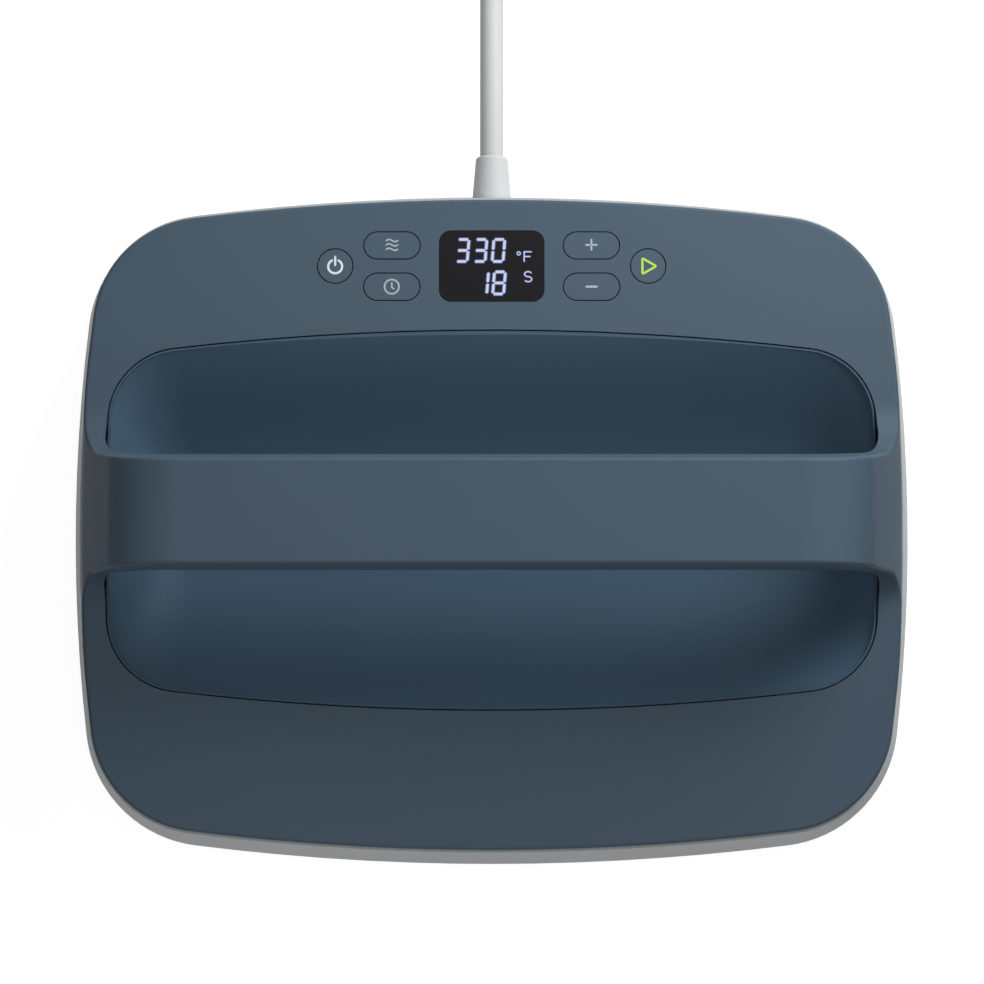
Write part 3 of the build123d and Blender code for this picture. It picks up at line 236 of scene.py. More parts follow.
def newGroup(name, inputs, outputs):
    group = bpy.data.node_groups.new(name, "ShaderNodeTree")
    for label, kind, value in inputs:
        group.interface.new_socket(label, in_out="INPUT", socket_type=kind).default_value = value
    for label, kind in outputs:
        group.interface.new_socket(label, in_out="OUTPUT", socket_type=kind)
    return group, group.nodes.new("NodeGroupInput").outputs, group.nodes.new("NodeGroupOutput").inputs


mouldedLook = {
    "cloud": 9.0,
    "cloudDetail": 3.0,
    "sparkDetail": 2.0,
    "sparkShade": (0.97, 1.03),
    "patch": 31.0,
    "patchDetail": 4.0,
}


def makeMouldedSkin(look):
    # satin moulded plastic: slow drift of shade, a fine spark grain, uneven gloss
    inputs = [("Colour", colourIn, (0.5, 0.5, 0.5, 1)), ("Drift", valueIn, 0.03), ("Grain", valueIn, 2400.0),
              ("Roughness", valueIn, 0.5), ("Gloss spread", valueIn, 0.05)]
    tree, given, put = newGroup("mouldedSkin", inputs, skinOutputs)
    place = objectPlace(tree)
    cloud = noise(tree, place, look["cloud"], look["cloudDetail"])
    spark = noise(tree, place, given["Grain"], look["sparkDetail"])
    pits = cells(tree, place, given["Grain"])["Distance"]
    less = reckon(tree, 1.0, given["Drift"], "SUBTRACT")
    more = reckon(tree, 1.0, given["Drift"], "ADD")
    slow = ranged(tree, cloud, less, more, cloudSpan)
    fine = ranged(tree, spark, *look["sparkShade"])
    tree.links.new(tinted(tree, given["Colour"], reckon(tree, slow, fine)), put["Colour"])
    patch = noise(tree, place, look["patch"], look["patchDetail"])
    off = reckon(tree, patch, 0.5, "SUBTRACT")
    gloss = reckon(tree, off, given["Gloss spread"], "MULTIPLY_ADD", given["Roughness"])
    tree.links.new(gloss, put["Roughness"])
    tree.links.new(reckon(tree, spark, pits, "ADD"), put["Height"])
    return tree


drawnLook = {
    "pull": (0.03, 1.0, 1.0),  # stretches the lines along x
    "lineDetail": 3.0,
    "lineGloss": 0.22,
    "stain": 60.0,
    "stainDetail": 5.0,
}


def makeDrawnMetal(look):
    # sheet and turned metal: long draw lines, faint stains
    inputs = [("Colour", colourIn, (0.6, 0.6, 0.6, 1)), ("Line", valueIn, 900.0),
              ("Roughness", valueIn, 0.35), ("Stain", valueIn, 0.12)]
    tree, given, put = newGroup("drawnMetal", inputs, skinOutputs)
    place = objectPlace(tree)
    pull = addNode(tree, "ShaderNodeMapping", {"Vector": place, "Scale": look["pull"]}).outputs[0]
    lines = noise(tree, pull, given["Line"], look["lineDetail"])
    cloud = noise(tree, place, look["stain"], look["stainDetail"])
    dark = reckon(tree, 1.0, given["Stain"], "SUBTRACT")
    shade = ranged(tree, cloud, dark, 1.0, cloudSpan)
    tree.links.new(tinted(tree, given["Colour"], shade), put["Colour"])
    gloss = reckon(tree, lines, look["lineGloss"], "MULTIPLY_ADD", given["Roughness"])
    tree.links.new(gloss, put["Roughness"])
    tree.links.new(lines, put["Height"])
    return tree


fleckLook = {"detail": 4.0, "gloss": 0.12}


def makeFleck(look):
    # small flecks of a second colour scattered in the first, for coatings, felt and woven straps
    inputs = [("Colour", colourIn, (0.1, 0.1, 0.1, 1)), ("Fleck", colourIn, (0.3, 0.3, 0.3, 1)),
              ("Size", valueIn, 900.0), ("Cover", valueIn, 0.3), ("Roughness", valueIn, 0.5)]
    tree, given, put = newGroup("fleck", inputs, skinOutputs)
    place = objectPlace(tree)
    spots = cells(tree, place, given["Size"])
    cloud = noise(tree, place, given["Size"], look["detail"])
    tone = addNode(tree, "ShaderNodeSeparateColor", {"Color": spots["Color"]}).outputs[0]
    mask = reckon(tree, tone, given["Cover"], "LESS_THAN")
    tree.links.new(mixed(tree, reckon(tree, mask, cloud), given["Colour"], given["Fleck"]), put["Colour"])
    gloss = reckon(tree, cloud, look["gloss"], "MULTIPLY_ADD", given["Roughness"])
    tree.links.new(gloss, put["Roughness"])
    tree.links.new(spots["Distance"], put["Height"])
    return tree


skins = {
    "moulded": makeMouldedSkin(mouldedLook),
    "drawn": makeDrawnMetal(drawnLook),
    "fleck": makeFleck(fleckLook),
}


def newMaterial(name, kind):
    # a material with one of the shared skins, whose colour is joined to its shader
    material = bpy.data.materials.new(name)
    material.use_nodes = True
    tree = material.node_tree
    shader = tree.nodes["Principled BSDF"]
    skin = addNode(tree, "ShaderNodeGroup", node_tree=skins[kind])
    tree.links.new(skin.outputs["Colour"], shader.inputs["Base Color"])
    return material, tree, shader, skin


# One finish for each of the record's material slots
bumpDepth = 0.1 * mm
plainSpecular = 0.5


def moulded(colour, rough, drift, bump, specular=plainSpecular):
    return {"kind": "moulded", "colour": colour, "rough": rough, "drift": drift, "bump": bump,
            "specular": specular}


def flecked(colour, fleck, size, cover, rough, bump):
    return {"kind": "fleck", "colour": colour, "fleck": fleck, "size": size, "cover": cover, "rough": rough,
            "bump": bump, "specular": plainSpecular}


def drawn(colour, rough, bump):
    return {"kind": "drawn", "colour": colour, "rough": rough, "bump": bump, "specular": plainSpecular}


finishes = {
    "cover_blue": moulded((70, 87, 101), rough=0.52, drift=0.02, bump=0.05, specular=0.18),
    "key_blue": moulded((70, 87, 101), rough=0.5, drift=0.015, bump=0.04, specular=0.2),
    "housing_grey": moulded((186, 191, 193), rough=0.5, drift=0.02, bump=0.05, specular=0.18),
    "cord_white": moulded((193, 194, 194), rough=0.5, drift=0.02, bump=0.06, specular=0.18),
    "boot_white": moulded((192, 196, 197), rough=0.5, drift=0.02, bump=0.05, specular=0.18),
    "window_dark": moulded((33, 33, 35), rough=0.3, drift=0.02, bump=0.0, specular=0.04),
    "part_black": moulded((34, 35, 37), rough=0.45, drift=0.05, bump=0.08),
    "part_blue": moulded((38, 74, 132), rough=0.4, drift=0.05, bump=0.05),
    "board_green": flecked((22, 78, 48), (60, 120, 78), size=420.0, cover=0.35, rough=0.35, bump=0.08),
    "seal_black": flecked((30, 30, 31), (62, 62, 64), size=1500.0, cover=0.25, rough=0.7, bump=0.15),
    "tie_black": flecked((24, 24, 26), (58, 58, 62), size=1400.0, cover=0.5, rough=0.75, bump=0.5),
    "plate_coated": flecked((66, 68, 70), (118, 120, 122), size=1600.0, cover=0.16, rough=0.34, bump=0.06),
    "blanket_white": flecked((222, 218, 206), (186, 180, 164), size=700.0, cover=0.5, rough=0.9, bump=0.6),
    "steel": drawn((178, 180, 182), rough=0.28, bump=0.04),
    "zinc_sheet": drawn((168, 172, 174), rough=0.34, bump=0.05),
    "sink_metal": drawn((186, 188, 190), rough=0.3, bump=0.05),
    "brass": drawn((196, 164, 92), rough=0.27, bump=0.03),
    "wire_red": moulded((166, 36, 32), rough=0.4, drift=0.05, bump=0.04),
    "wire_grey": moulded((150, 152, 154), rough=0.42, drift=0.05, bump=0.04),
}


def makeFinish(slot, look):
    material, tree, shader, skin = newMaterial(slot + "Finish", look["kind"])
    skin.inputs["Colour"].default_value = linear(*look["colour"])
    skin.inputs["Roughness"].default_value = look["rough"]
    if "drift" in look:
        skin.inputs["Drift"].default_value = look["drift"]
    if "fleck" in look:
        skin.inputs["Fleck"].default_value = linear(*look["fleck"])
        skin.inputs["Size"].default_value = look["size"]
        skin.inputs["Cover"].default_value = look["cover"]
    shader.inputs["Metallic"].default_value = 1.0 if look["kind"] == "drawn" else 0.0
    shader.inputs["Specular IOR Level"].default_value = look["specular"]
    tree.links.new(skin.outputs["Roughness"], shader.inputs["Roughness"])
    if look["bump"] > 0:
        links = {"Strength": look["bump"], "Distance": bumpDepth, "Height": skin.outputs["Height"]}
        tree.links.new(addNode(tree, "ShaderNodeBump", links).outputs[0], shader.inputs["Normal"])
    return material


finish = {slot: makeFinish(slot, look) for slot, look in finishes.items()}
for piece in nodes.values():
    for place in piece.material_slots:
        place.material = finish[place.material.name]
print("finishes on", len(nodes), "nodes")

# Tray: the same shape with its facets blended, because the moulded dish is one smooth sweep
trayLook = {
    "crease": 24.0,  # degrees
    # the cover's blue made a little bluer: a painted tint for the bluer shade inside the recess
    "colour": (68, 90, 108),
    "specular": 0.07,
}


def addTray(look):
    bm = bmesh.new()
    bm.from_mesh(nodes["grip_tray"].data)
    bmesh.ops.remove_doubles(bm, verts=bm.verts, dist=weld)
    tray = addMesh("smoothTray", bm)
    tray.data.attributes.remove(tray.data.attributes["custom_normal"])  # these fit the loose triangles only
    tray.data.shade_smooth()
    tray.data.set_sharp_from_angle(angle=math.radians(look["crease"]))
    # the bluer colour given here is painted shade tint for the recess
    own = {"colour": look["colour"], "specular": look["specular"]}
    dress(tray, makeFinish("tray", {**finishes["cover_blue"], **own}), "press")
    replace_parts(tray, "grip_tray")


addTray(trayLook)
print("tray smoothed")


# Geometry Nodes trees for what repeats or follows a path

def newRule(name, sizes, seed=None):
    # a tree with one named input for each size, points in and a mesh out
    tree = bpy.data.node_groups.new(name, "GeometryNodeTree")
    tree.interface.new_socket("Geometry", in_out="OUTPUT", socket_type="NodeSocketGeometry")
    tree.interface.new_socket("Geometry", in_out="INPUT", socket_type="NodeSocketGeometry")
    for label, size in sizes.items():
        tree.interface.new_socket(label, in_out="INPUT", socket_type=valueIn).default_value = size
    if seed is not None:
        tree.interface.new_socket("Seed", in_out="INPUT", socket_type="NodeSocketInt").default_value = seed
    tree.interface.new_socket("Finish", in_out="INPUT", socket_type="NodeSocketMaterial")
    return tree, tree.nodes.new("NodeGroupInput").outputs


def vector(tree, x=0.0, y=0.0, z=0.0):
    return addNode(tree, "ShaderNodeCombineXYZ", {"X": x, "Y": y, "Z": z}).outputs[0]


def shape(tree, kind, sizes):
    return addNode(tree, "GeometryNode" + kind, sizes).outputs[0]


def moved(tree, form, **change):
    links = {"Geometry": form, **{key.capitalize(): value for key, value in change.items()}}
    return addNode(tree, "GeometryNodeTransform", links).outputs[0]


def combined(tree, operation, forms, start=None):
    node = addNode(tree, "GeometryNodeMeshBoolean", operation=operation, solver="EXACT")
    if start:
        tree.links.new(start, node.inputs[0])
    for form in forms:
        tree.links.new(form, node.inputs[1])
    return node.outputs[0]


def placeAndEnd(tree, given, form, turn=None):
    # one copy at each point, made real and given its finish
    links = {"Points": given["Geometry"], "Instance": form}
    if turn:
        links["Rotation"] = turn
    copies = addNode(tree, "GeometryNodeInstanceOnPoints", links).outputs[0]
    real = addNode(tree, "GeometryNodeRealizeInstances", {"Geometry": copies}).outputs[0]
    links = {"Geometry": real, "Material": given["Finish"]}
    done = addNode(tree, "GeometryNodeSetMaterial", links).outputs[0]
    tree.links.new(done, tree.nodes.new("NodeGroupOutput").inputs[0])
    return tree


grownCrease = 35.0  # degrees


def growPiece(name, places, tree, slot, sizes):
    # runs a tree on its points and keeps the result as a plain mesh
    bm = bmesh.new()
    for place in places:
        bm.verts.new(place)
    piece = addMesh(name, bm)
    rule = piece.modifiers.new(name, "NODES")
    rule.node_group = tree
    values = {**sizes, "Finish": finish[slot]}
    for socket in tree.interface.items_tree:
        if socket.in_out == "INPUT" and socket.name in values:
            rule[socket.identifier] = values[socket.name]
    made = bpy.data.meshes.new_from_object(piece.evaluated_get(bpy.context.evaluated_depsgraph_get()))
    piece.modifiers.remove(rule)
    piece.data = made
    made.shade_smooth()
    made.set_sharp_from_angle(angle=math.radians(grownCrease))
    dress(piece, finish[slot], "press")
    print(name, len(places), "places,", len(made.polygons), "faces")
    return piece


# Screws with a cross in their heads, which look down out of the housing and the handle
screwLook = {
    "Head diameter": 5.6 * mm,
    "Head height": 2.0 * mm,
    "Edge": 0.35 * mm,
    "Shank diameter": 3.0 * mm,
    "Cross length": 3.3 * mm,
    "Cross width": 0.75 * mm,
    "Cross depth": 1.1 * mm,
    "Length": 20.0 * mm,  # taken from the node for each set
}
screwSides = {"head": 28, "shank": 20}
screwSeed = 7


def makeScrewRule(look):
    tree, given = newRule("crossScrews", look, seed=screwSeed)
    radius = reckon(tree, given["Head diameter"], 0.5)
    barrel = reckon(tree, given["Head height"], given["Edge"], "SUBTRACT")
    shank = reckon(tree, given["Length"], given["Head height"], "SUBTRACT")
    narrow = reckon(tree, radius, given["Edge"], "SUBTRACT")
    rim = shape(tree, "MeshCone", {"Vertices": screwSides["head"], "Depth": given["Edge"],
                                   "Radius Top": radius, "Radius Bottom": narrow})
    head = shape(tree, "MeshCylinder", {"Vertices": screwSides["head"], "Depth": barrel, "Radius": radius})
    rise = reckon(tree, given["Edge"], reckon(tree, barrel, 0.5), "ADD")
    head = moved(tree, head, translation=vector(tree, z=rise))
    thin = reckon(tree, given["Shank diameter"], 0.5)
    rod = shape(tree, "MeshCylinder", {"Vertices": screwSides["shank"], "Depth": shank, "Radius": thin})
    rise = reckon(tree, given["Head height"], reckon(tree, shank, 0.5), "ADD")
    rod = moved(tree, rod, translation=vector(tree, z=rise))
    whole = combined(tree, "UNION", [rim, head, rod])
    deep = reckon(tree, given["Cross depth"], 2.0)
    cuts = [shape(tree, "MeshCube", {"Size": vector(tree, given[a], given[b], deep)})
            for a, b in (("Cross length", "Cross width"), ("Cross width", "Cross length"))]
    screw = combined(tree, "DIFFERENCE", cuts, whole)
    links = {2: 0.0, 3: math.pi / 2, "Seed": given["Seed"]}  # the cross stops at a different turn in each
    turn = addNode(tree, "FunctionNodeRandomValue", links).outputs[1]
    return placeAndEnd(tree, given, screw, vector(tree, z=turn))


def screwPlaces(node):
    # the middle of each screw's head face, and the screws' length
    bm = bmesh.new()
    bm.from_mesh(nodes[node].data)
    bmesh.ops.remove_doubles(bm, verts=bm.verts, dist=weld)
    low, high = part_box(node)
    apart = 2 * screwLook["Head diameter"]
    rings = {}
    for v in bm.verts:
        if v.co.z < low[2] + weld:
            near = next((first for first in rings if (Vector(first) - v.co).length < apart), None)
            rings.setdefault(near or tuple(v.co), []).append(v.co.copy())
    bm.free()
    places = []
    for ring in rings.values():
        places.append(tuple((min(v[k] for v in ring) + max(v[k] for v in ring)) / 2 for k in range(3)))
    return sorted(places), high[2] - low[2]


screwRule = makeScrewRule(screwLook)
for node, name in (("housing_screws", "housingScrews"), ("handle_screws", "handleScrews")):
    places, length = screwPlaces(node)
    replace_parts(growPiece(name, places, screwRule, "steel", {**screwLook, "Length": length}), node)

# Strap that holds the coil, a closed loop with its end laid over it
strapLook = {
    "Strap width": 10.0 * mm,
    "Strap thickness": 0.8 * mm,
    "Corner": 5.4 * mm,
    "Tongue": 17.0 * mm,
    "Loop width": 36.0 * mm,  # these two are taken from the node
    "Loop height": 22.0 * mm,
}
strapSteps = {"corner": 8, "tongue": 8}


def makeStrapRule(look):
    tree, given = newRule("strapLoop", look)
    thick = given["Strap thickness"]
    across = reckon(tree, given["Loop width"], thick, "SUBTRACT")
    up = reckon(tree, given["Loop height"], thick, "SUBTRACT")
    path = shape(tree, "CurvePrimitiveQuadrilateral", {"Width": across, "Height": up})
    links = {"Curve": path, "Count": strapSteps["corner"], "Radius": given["Corner"]}
    path = addNode(tree, "GeometryNodeFilletCurve", links, mode="POLY").outputs[0]
    band = shape(tree, "CurvePrimitiveQuadrilateral", {"Width": thick, "Height": given["Strap width"]})
    loop = shape(tree, "CurveToMesh", {"Curve": path, "Profile Curve": band})
    size = vector(tree, given["Tongue"], thick, given["Strap width"])
    tongue = shape(tree, "MeshCube", {"Size": size, "Vertices X": strapSteps["tongue"]})
    rise = reckon(tree, reckon(tree, given["Loop height"], thick, "ADD"), 0.5)
    tongue = moved(tree, tongue, translation=vector(tree, y=rise))
    both = addNode(tree, "GeometryNodeJoinGeometry")
    for form in (loop, tongue):
        tree.links.new(form, both.inputs[0])
    upright = moved(tree, both.outputs[0], rotation=vector(tree, x=math.pi / 2))
    return placeAndEnd(tree, given, upright)


def addStrap(look):
    low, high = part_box("coil_tie")
    loopSize = {"Loop width": high[0] - low[0], "Loop height": high[2] - low[2]}
    middle = tuple((a + b) / 2 for a, b in zip(low, high))
    strap = growPiece("coilStrap", [middle], makeStrapRule(look), "tie_black", {**look, **loopSize})
    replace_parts(strap, "coil_tie")
    return strap


strap = addStrap(strapLook)

# Grip ribs on both sides of the plug
ribLook = {"Rib width": 2.0 * mm, "Rib height": 15.0 * mm, "Rib rise": 0.7 * mm}
ribRow = {"count": 4, "pitch": 3.6 * mm, "first": 16.0 * mm}  # first is counted from the plug's rear
ribSteps = {"round": 16, "along": 12}


def makeRibRule(look):
    tree, given = newRule("gripRibs", look)
    ball = shape(tree, "MeshUVSphere", {"Segments": ribSteps["round"], "Rings": ribSteps["along"],
                                        "Radius": 0.5})
    size = vector(tree, reckon(tree, given["Rib rise"], 2.0), given["Rib width"], given["Rib height"])
    return placeAndEnd(tree, given, moved(tree, ball, scale=size))


def addRibs(look, row):
    low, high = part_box("plug_body")
    level = (low[2] + high[2]) / 2
    along = [low[1] + row["first"] + row["pitch"] * k for k in range(row["count"])]
    places = [(x, y, level) for x in (low[0], high[0]) for y in along]
    return growPiece("plugRibs", places, makeRibRule(look), "cord_white", look)


ribs = addRibs(ribLook, ribRow)

# Mains lead: out of the rear, down to the table, then put away in a flat coil of two layers
leadLook = {
    "diameter": 9.4 * mm,
    "length": 1.78,
    "exit": (0, 131.65 * mm, 28.25 * mm),
    "route": [(0, 117.9, 28.25), (0, 168, 28.25), (0, 219, 14.6), (0, 262, 6.0), (0, 296.6, 6.0)],  # mm
    "coilCentre": (66.75, 306.0),  # mm, like the coil's other sizes
    "outerReach": 66.75,
    "step": 6.1,  # how much each half turn is nearer to the centre than the one before it
    "inward": 6,  # ends of half turns in the lower layer, and outward in the upper one
    "outward": 5,
    "levels": (6.0, 16.5),
    "tail": 56.0,
    "stepsPerHalf": 12,
}


def leadPoints(look):
    points = list(look["route"])
    cx, cy = look["coilCentre"]
    outer, step = look["outerReach"], look["step"]
    inner = outer - step * (look["inward"] - 1)
    lower, upper = look["levels"]
    stops = [((-1) ** (k + 1) * (outer - step * k), lower) for k in range(look["inward"])]
    stops += [((-1) ** (k + 1) * (inner + step * k), upper) for k in range(look["outward"])]
    for half, ((x0, z0), (x1, z1)) in enumerate(zip(stops, stops[1:])):
        middle, radius = cx + (x0 + x1) / 2, (x0 - x1) / 2
        side = 1 if half % 2 == 0 else -1
        for k in range(look["stepsPerHalf"]):
            share = k / look["stepsPerHalf"]
            turn = math.pi * share
            x = middle + radius * math.cos(turn)
            y = cy + side * abs(radius) * math.sin(turn)
            climb = (z1 - z0) * (3 * share ** 2 - 2 * share ** 3)  # eases from one layer to the other
            points.append((x, y, z0 + climb))
    lastX, lastZ = stops[-1]
    points += [(cx + lastX, cy + look["tail"] * share, lastZ) for share in (0, 0.5, 1)]
    return points


def addLead(look):
    line = bpy.data.curves.new("mainsLead", "CURVE")
    line.dimensions = "3D"
    spline = line.splines.new("NURBS")
    points = leadPoints(look)
    spline.points.add(len(points) - 1)
    for at, p in zip(spline.points, points):
        at.co = (*(c * mm for c in p), 1)
    spline.order_u = 3
    spline.use_endpoint_u = True
    spline.resolution_u = 5
    line.bevel_depth = look["diameter"] / 2
    line.bevel_resolution = 5
    line.use_fill_caps = True
    lead = bpy.data.objects.new("mainsLead", line)
    scene.collection.objects.link(lead)
    dress(lead, finish["cord_white"], "press")
    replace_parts(lead, "power_cord", "cord_coil")


addLead(leadLook)
print("lead laid")

# Printed symbols on the keys
printLook = {
    "lift": 0.01 * mm,
    "height": 0.03 * mm,
    "drift": 0.04,
    "rough": 0.5,
    "inks": {
        "white": {"colour": (208, 216, 220), "glow": 0.1},
        "grey": {"colour": (162, 176, 183), "glow": 0.0},
        "green": {"colour": (164, 200, 62), "glow": 0.15},
    },
}


def makePrint(name, look, ink):
    # ink on a key: a little uneven, with a faint glow of its own where it is lit from behind
    material, tree, shader, skin = newMaterial(name, "moulded")
    skin.inputs["Colour"].default_value = linear(*ink["colour"])
    skin.inputs["Drift"].default_value = look["drift"]
    skin.inputs["Roughness"].default_value = look["rough"]
    tree.links.new(skin.outputs["Roughness"], shader.inputs["Roughness"])
    tree.links.new(skin.outputs["Colour"], shader.inputs["Emission Color"])
    shader.inputs["Emission Strength"].default_value = ink["glow"]
    return material


inks = {name: makePrint(name + "Ink", printLook, ink) for name, ink in printLook["inks"].items()}

# The symbols' sizes are in mm from the middle of the key
powerLook = {
    "centre": (0, -0.1),
    "radius": 2.75,
    "open": (117, 423),  # degrees, where the ring starts and ends
    "ringStroke": 0.9,
    "bar": [(0, 3.85), (0, 0.4)],
    "barStroke": 0.85,
}


def powerStrokes(look):
    ring = arc(look["centre"], look["radius"], *look["open"])
    return [(ring, look["ringStroke"], False), (look["bar"], look["barStroke"], False)]


waveLook = {"rows": (2.05, 0.28, -1.5), "half": 2.3, "swing": 0.45, "stroke": 0.6, "steps": 20}


def waveStrokes(look):
    strokes = []
    for row in look["rows"]:
        shares = [k / look["steps"] for k in range(look["steps"] + 1)]
        wave = [(look["half"] * (2 * t - 1), row + look["swing"] * math.sin(2 * math.pi * t)) for t in shares]
        strokes.append((wave, look["stroke"], False))
    return strokes


clockLook = {
    "centre": (0, 0.1),
    "radius": 2.86,
    "steps": 40,
    "ringStroke": 0.68,
    "hands": [(0, 1.7), (0, -0.25), (0.85, -0.8)],
    "handStroke": 0.6,
}


def clockStrokes(look):
    ring = arc(look["centre"], look["radius"], 0, 360 - 360 / look["steps"], look["steps"] - 1)
    return [(ring, look["ringStroke"], True), (look["hands"], look["handStroke"], False)]


plusLook = {"half": 2.15, "level": 0.3, "stroke": 0.72}
minusLook = {"half": 2.15, "level": 0.1, "stroke": 0.86}


def minusStrokes(look):
    return [([(-look["half"], look["level"]), (look["half"], look["level"])], look["stroke"], False)]


def plusStrokes(look):
    upright = [(0, look["level"] + look["half"]), (0, look["level"] - look["half"])]
    return minusStrokes(look) + [(upright, look["stroke"], False)]


playLook = {
    "corners": [(-2.3, -3.15), (3.15, 0.05), (-2.3, 3.25)],
    "round": 0.7,
    "roundSteps": 5,
    "stroke": 0.9,
}


def playStrokes(look):
    corners = [Vector(corner) for corner in look["corners"]]
    path = []
    for i, corner in enumerate(corners):  # each corner is rounded off by a short curve
        toBefore = (corners[i - 1] - corner).normalized() * look["round"]
        toAfter = (corners[(i + 1) % len(corners)] - corner).normalized() * look["round"]
        for k in range(look["roundSteps"] + 1):
            t = k / look["roundSteps"]
            path.append(tuple(corner + toBefore * (1 - t) ** 2 + toAfter * t ** 2))
    return [(path, look["stroke"], True)]


keySymbols = {
    "power_button": (powerStrokes(powerLook), "white"),
    "temperature_button": (waveStrokes(waveLook), "grey"),
    "timer_button": (clockStrokes(clockLook), "grey"),
    "plus_button": (plusStrokes(plusLook), "grey"),
    "minus_button": (minusStrokes(minusLook), "grey"),
    "start_button": (playStrokes(playLook), "green"),
}


def addSymbol(key, strokes, ink):
    bm = bmesh.new()
    addStrokes(bm, strokes)
    thicken(bm, printLook["height"])
    bm.transform(deckPlace(key, printLook["lift"]))
    piece = addMesh(key.replace("button", "symbol"), bm)
    dress(piece, inks[ink], key.replace("button", "key"))


for key, (strokes, ink) in keySymbols.items():
    addSymbol(key, strokes, ink)
print("key symbols printed")

# Lit figures behind the display window: two rows of seven-segment digits and two unit marks
figureLook = {
    "lift": 0.01 * mm,
    "height": 0.015 * mm,
    "digit": (5.35, 9.95),  # mm, like the sizes below
    "bar": 1.04,
    "cut": 0.24,
    "taper": 0.62,  # share of half a bar by which its ends are pointed
    "slant": 4.5,  # degrees
    "upperRow": (6.4, [(-11.45, "3"), (-4.4, "3"), (2.68, "0")]),
    "lowerRow": (-6.75, [(-3.75, "1"), (2.9, "8")]),
    "halo": 0.34,
    "light": (198, 207, 242),
    "haloLight": (54, 60, 116),
}
segmentsOf = {"0": "abcdef", "1": "bc", "3": "abcdg", "8": "abcdefg"}
unitLook = {
    "stroke": 0.43,
    "haloShare": 1.2,  # how much of the halo a stroke gains
    "ring": {"centre": (10.67, 5.2), "radius": 0.64, "turn": (0, 346), "steps": 25, "strokeShare": 0.85},
    "degreeLetter": [[(12.8, 1.95), (12.8, 5.85), (15.6, 5.85)], [(12.8, 3.95), (15.1, 3.95)]],
    "secondLetter": [((14.35, -3.2), (35, 270)), ((14.35, -5.24), (80, -145))],  # its two bows
    "bow": (1.4, 1.02),
    "bowSteps": 14,
}


def segmentOutline(segment, look, grow):
    # six-cornered bar of one segment, before the slant
    w, h = look["digit"]
    half = look["bar"] / 2
    x, y = w / 2 - half, h / 2 - half
    ends = {"a": ((-x, y), (x, y)), "b": ((x, y), (x, 0)), "c": ((x, 0), (x, -y)), "d": ((-x, -y), (x, -y)),
            "e": ((-x, 0), (-x, -y)), "f": ((-x, y), (-x, 0)), "g": ((-x, 0), (x, 0))}[segment]
    a, b = (Vector(p) for p in ends)
    way = (b - a).normalized()
    across = Vector((-way.y, way.x))
    a, b = a + way * (look["cut"] - grow), b - way * (look["cut"] - grow)
    half += grow
    slope = half * look["taper"]
    return [a, a + way * slope + across * half, b - way * slope + across * half,
            b, b - way * slope - across * half, a + way * slope - across * half]


def unitStrokes(look, grow):
    stroke = look["stroke"] + grow * look["haloShare"]
    ring = look["ring"]
    circle = arc(ring["centre"], ring["radius"], *ring["turn"], ring["steps"])
    strokes = [(circle, stroke * ring["strokeShare"], True)]
    strokes += [(line, stroke, False) for line in look["degreeLetter"]]
    bows = [arc(centre, look["bow"], *turn, look["bowSteps"]) for centre, turn in look["secondLetter"]]
    return strokes + [(bows[0] + bows[1], stroke, False)]


def addFigures(name, look, grow, lift, material):
    bm = bmesh.new()
    lean = math.tan(math.radians(look["slant"]))
    for row, digits in (look["upperRow"], look["lowerRow"]):
        for column, digit in digits:
            for segment in segmentsOf[digit]:
                corners = [((column + p.x + lean * p.y) * mm, (row + p.y) * mm, 0)
                           for p in segmentOutline(segment, look, grow)]
                bm.faces.new([bm.verts.new(corner) for corner in corners])
    addStrokes(bm, unitStrokes(unitLook, grow))
    thicken(bm, look["height"])
    bm.transform(deckPlace("display_window", lift))
    piece = addMesh(name, bm)
    dress(piece, material, "press")


segmentLook = {
    "patch": 260.0,
    "patchDetail": 1.0,
    "dimmest": 0.82,
    "dimShare": (0.0, 0.35),
    "rough": (0.35, 0.5),
    "glass": (0.01, 0.01, 0.012, 1),
}


def makeLight(name, look, colour):
    # lit segment: brighter in some bars than in others
    material = bpy.data.materials.new(name)
    material.use_nodes = True
    tree = material.node_tree
    shader = tree.nodes["Principled BSDF"]
    cloud = noise(tree, objectPlace(tree), look["patch"], look["patchDetail"])
    share = ranged(tree, cloud, *look["dimShare"])
    base = mixed(tree, share, linear(*colour), linear(*(c * look["dimmest"] for c in colour)))
    tree.links.new(base, shader.inputs["Emission Color"])
    tree.links.new(ranged(tree, cloud, *look["rough"]), shader.inputs["Roughness"])
    shader.inputs["Base Color"].default_value = look["glass"]
    shader.inputs["Emission Strength"].default_value = 1.0
    return material


haloLight = makeLight("segmentHalo", segmentLook, figureLook["haloLight"])
figureLight = makeLight("segmentLight", segmentLook, figureLook["light"])
addFigures("displayHalo", figureLook, figureLook["halo"], figureLook["lift"], haloLight)
addFigures("displayFigures", figureLook, 0.0, figureLook["lift"] + figureLook["height"], figureLight)
print("display lit")

# Studio: pale floor, a soft light from the rear right and a weak one from the front left,
# a dark card at each side, white surroundings
studioLook = {
    "floor": (150, 150, 150),
    "floorGlow": 0.9,
    "floorDrift": 0.004,
    "floorRough": 0.8,
    "floorSize": 6.0,
    "floorCells": 8,
    "floorDrop": 0.2 * mm,  # just under the plate, so that the two faces don't meet
    "lamps": {
        "softboxRear": {"place": (0.48, 0.614, 0.5), "size": 0.56, "power": 8.6},
        "softboxFront": {"place": (-0.5, -0.7, 1.2), "size": 0.9, "power": 1.6},
    },
    "aim": (0, 0, 0.05),
    "flagAt": 0.205,  # where the dark cards stand, left and right of the press
    "flagSize": (0.9, 0.12),
    "flagLift": 0.001,
    "flagTone": (130, 131, 132),
    "flagRough": 0.9,
    "surround": 0.36,
}
white = (1, 1, 1, 1)


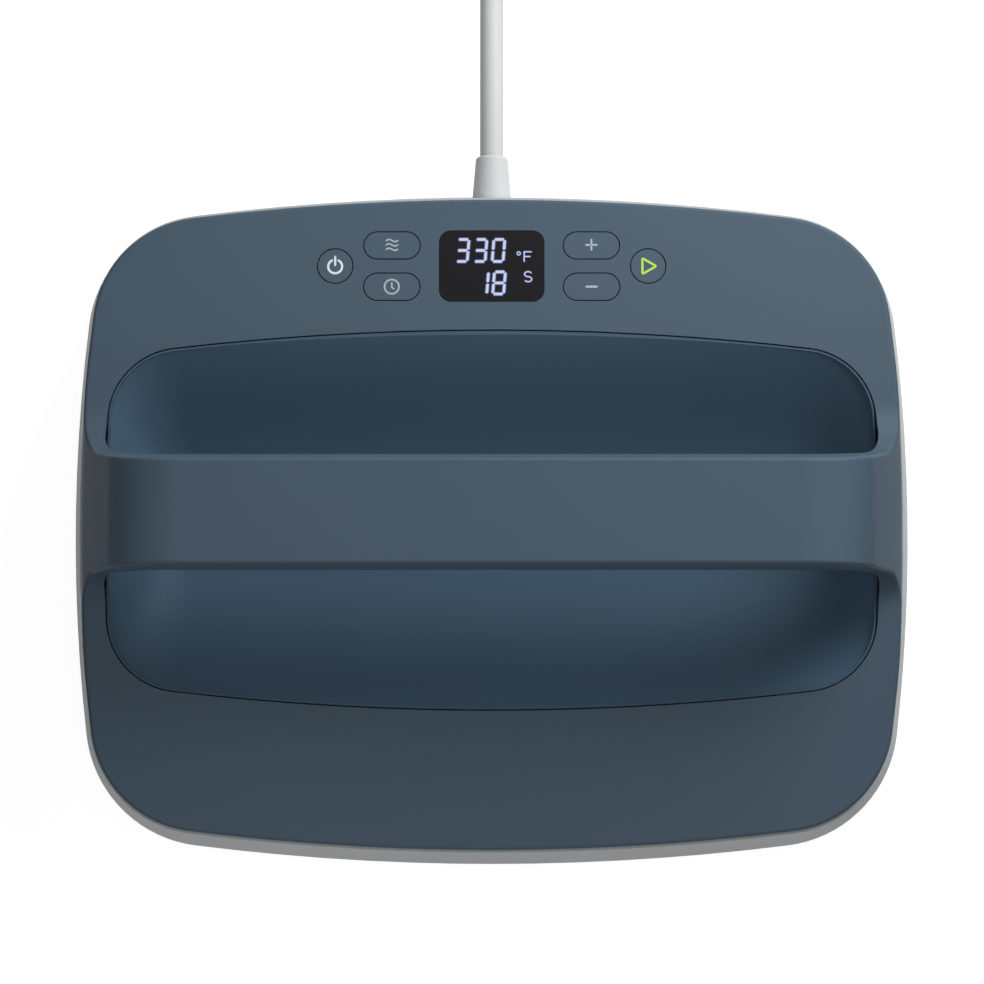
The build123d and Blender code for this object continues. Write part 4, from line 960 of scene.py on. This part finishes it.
def seenDirectly(tree):
    # 1 for the camera and for what it sees in a shiny or clear surface, 0 for light on the press
    path = addNode(tree, "ShaderNodeLightPath").outputs
    either = reckon(tree, path["Is Camera Ray"], path["Is Glossy Ray"], "MAXIMUM")
    return reckon(tree, either, path["Is Transmission Ray"], "MAXIMUM")


def addFloor(look):
    bm = bmesh.new()
    bmesh.ops.create_grid(bm, x_segments=look["floorCells"], y_segments=look["floorCells"],
                          size=look["floorSize"] / 2, matrix=Matrix.Translation((0, 0, -look["floorDrop"])))
    floor = addMesh("studioFloor", bm)
    material, tree, shader, skin = newMaterial("studioFloorFinish", "moulded")
    skin.inputs["Colour"].default_value = linear(*look["floor"])
    skin.inputs["Drift"].default_value = look["floorDrift"]
    shader.inputs["Roughness"].default_value = look["floorRough"]
    shader.inputs["Emission Color"].default_value = white
    strength = ranged(tree, seenDirectly(tree), 0.0, look["floorGlow"])
    tree.links.new(strength, shader.inputs["Emission Strength"])
    # seen from below the floor is clear, so that the heat plate can be looked at
    below = addNode(tree, "ShaderNodeNewGeometry").outputs["Backfacing"]
    clear = addNode(tree, "ShaderNodeBsdfTransparent").outputs[0]
    either = addNode(tree, "ShaderNodeMixShader", {0: below, 1: shader.outputs[0], 2: clear}).outputs[0]
    tree.links.new(either, tree.nodes["Material Output"].inputs["Surface"])
    floor.data.materials.append(material)


def addLamps(look):
    for name, lamp in look["lamps"].items():
        light = bpy.data.lights.new(name, "AREA")
        light.size = lamp["size"]
        light.energy = lamp["power"]
        box = bpy.data.objects.new(name, light)
        box.location = lamp["place"]
        way = Vector(look["aim"]) - Vector(lamp["place"])
        box.rotation_euler = way.to_track_quat("-Z", "Y").to_euler()
        scene.collection.objects.link(box)


def addFlags(look):
    # dark cards beside the press, which keep the white room out of its steep sides
    material, tree, shader, skin = newMaterial("flagCloth", "fleck")
    skin.inputs["Colour"].default_value = linear(*look["flagTone"])
    skin.inputs["Fleck"].default_value = linear(*look["flagTone"])
    shader.inputs["Roughness"].default_value = look["flagRough"]
    length, height = look["flagSize"]
    low, high = look["flagLift"], look["flagLift"] + height
    corners = [(-length / 2, low), (length / 2, low), (length / 2, high), (-length / 2, high)]
    for name, x in (("flagLeft", -look["flagAt"]), ("flagRight", look["flagAt"])):
        bm = bmesh.new()
        bm.faces.new([bm.verts.new((x, y, z)) for y, z in corners])
        flag = addMesh(name, bm)
        flag.data.materials.append(material)
        flag.visible_camera = False
        flag.visible_shadow = False


def addSurround(look):
    world = bpy.data.worlds.new("whiteStudio")
    world.use_nodes = True
    tree = world.node_tree
    back = tree.nodes["Background"]
    back.inputs["Color"].default_value = white
    strength = ranged(tree, seenDirectly(tree), look["surround"], 1.0)
    tree.links.new(strength, back.inputs["Strength"])
    scene.world = world


addFloor(studioLook)
addLamps(studioLook)
addFlags(studioLook)
addSurround(studioLook)
scene.view_settings.view_transform = "Standard"
print("studio set")
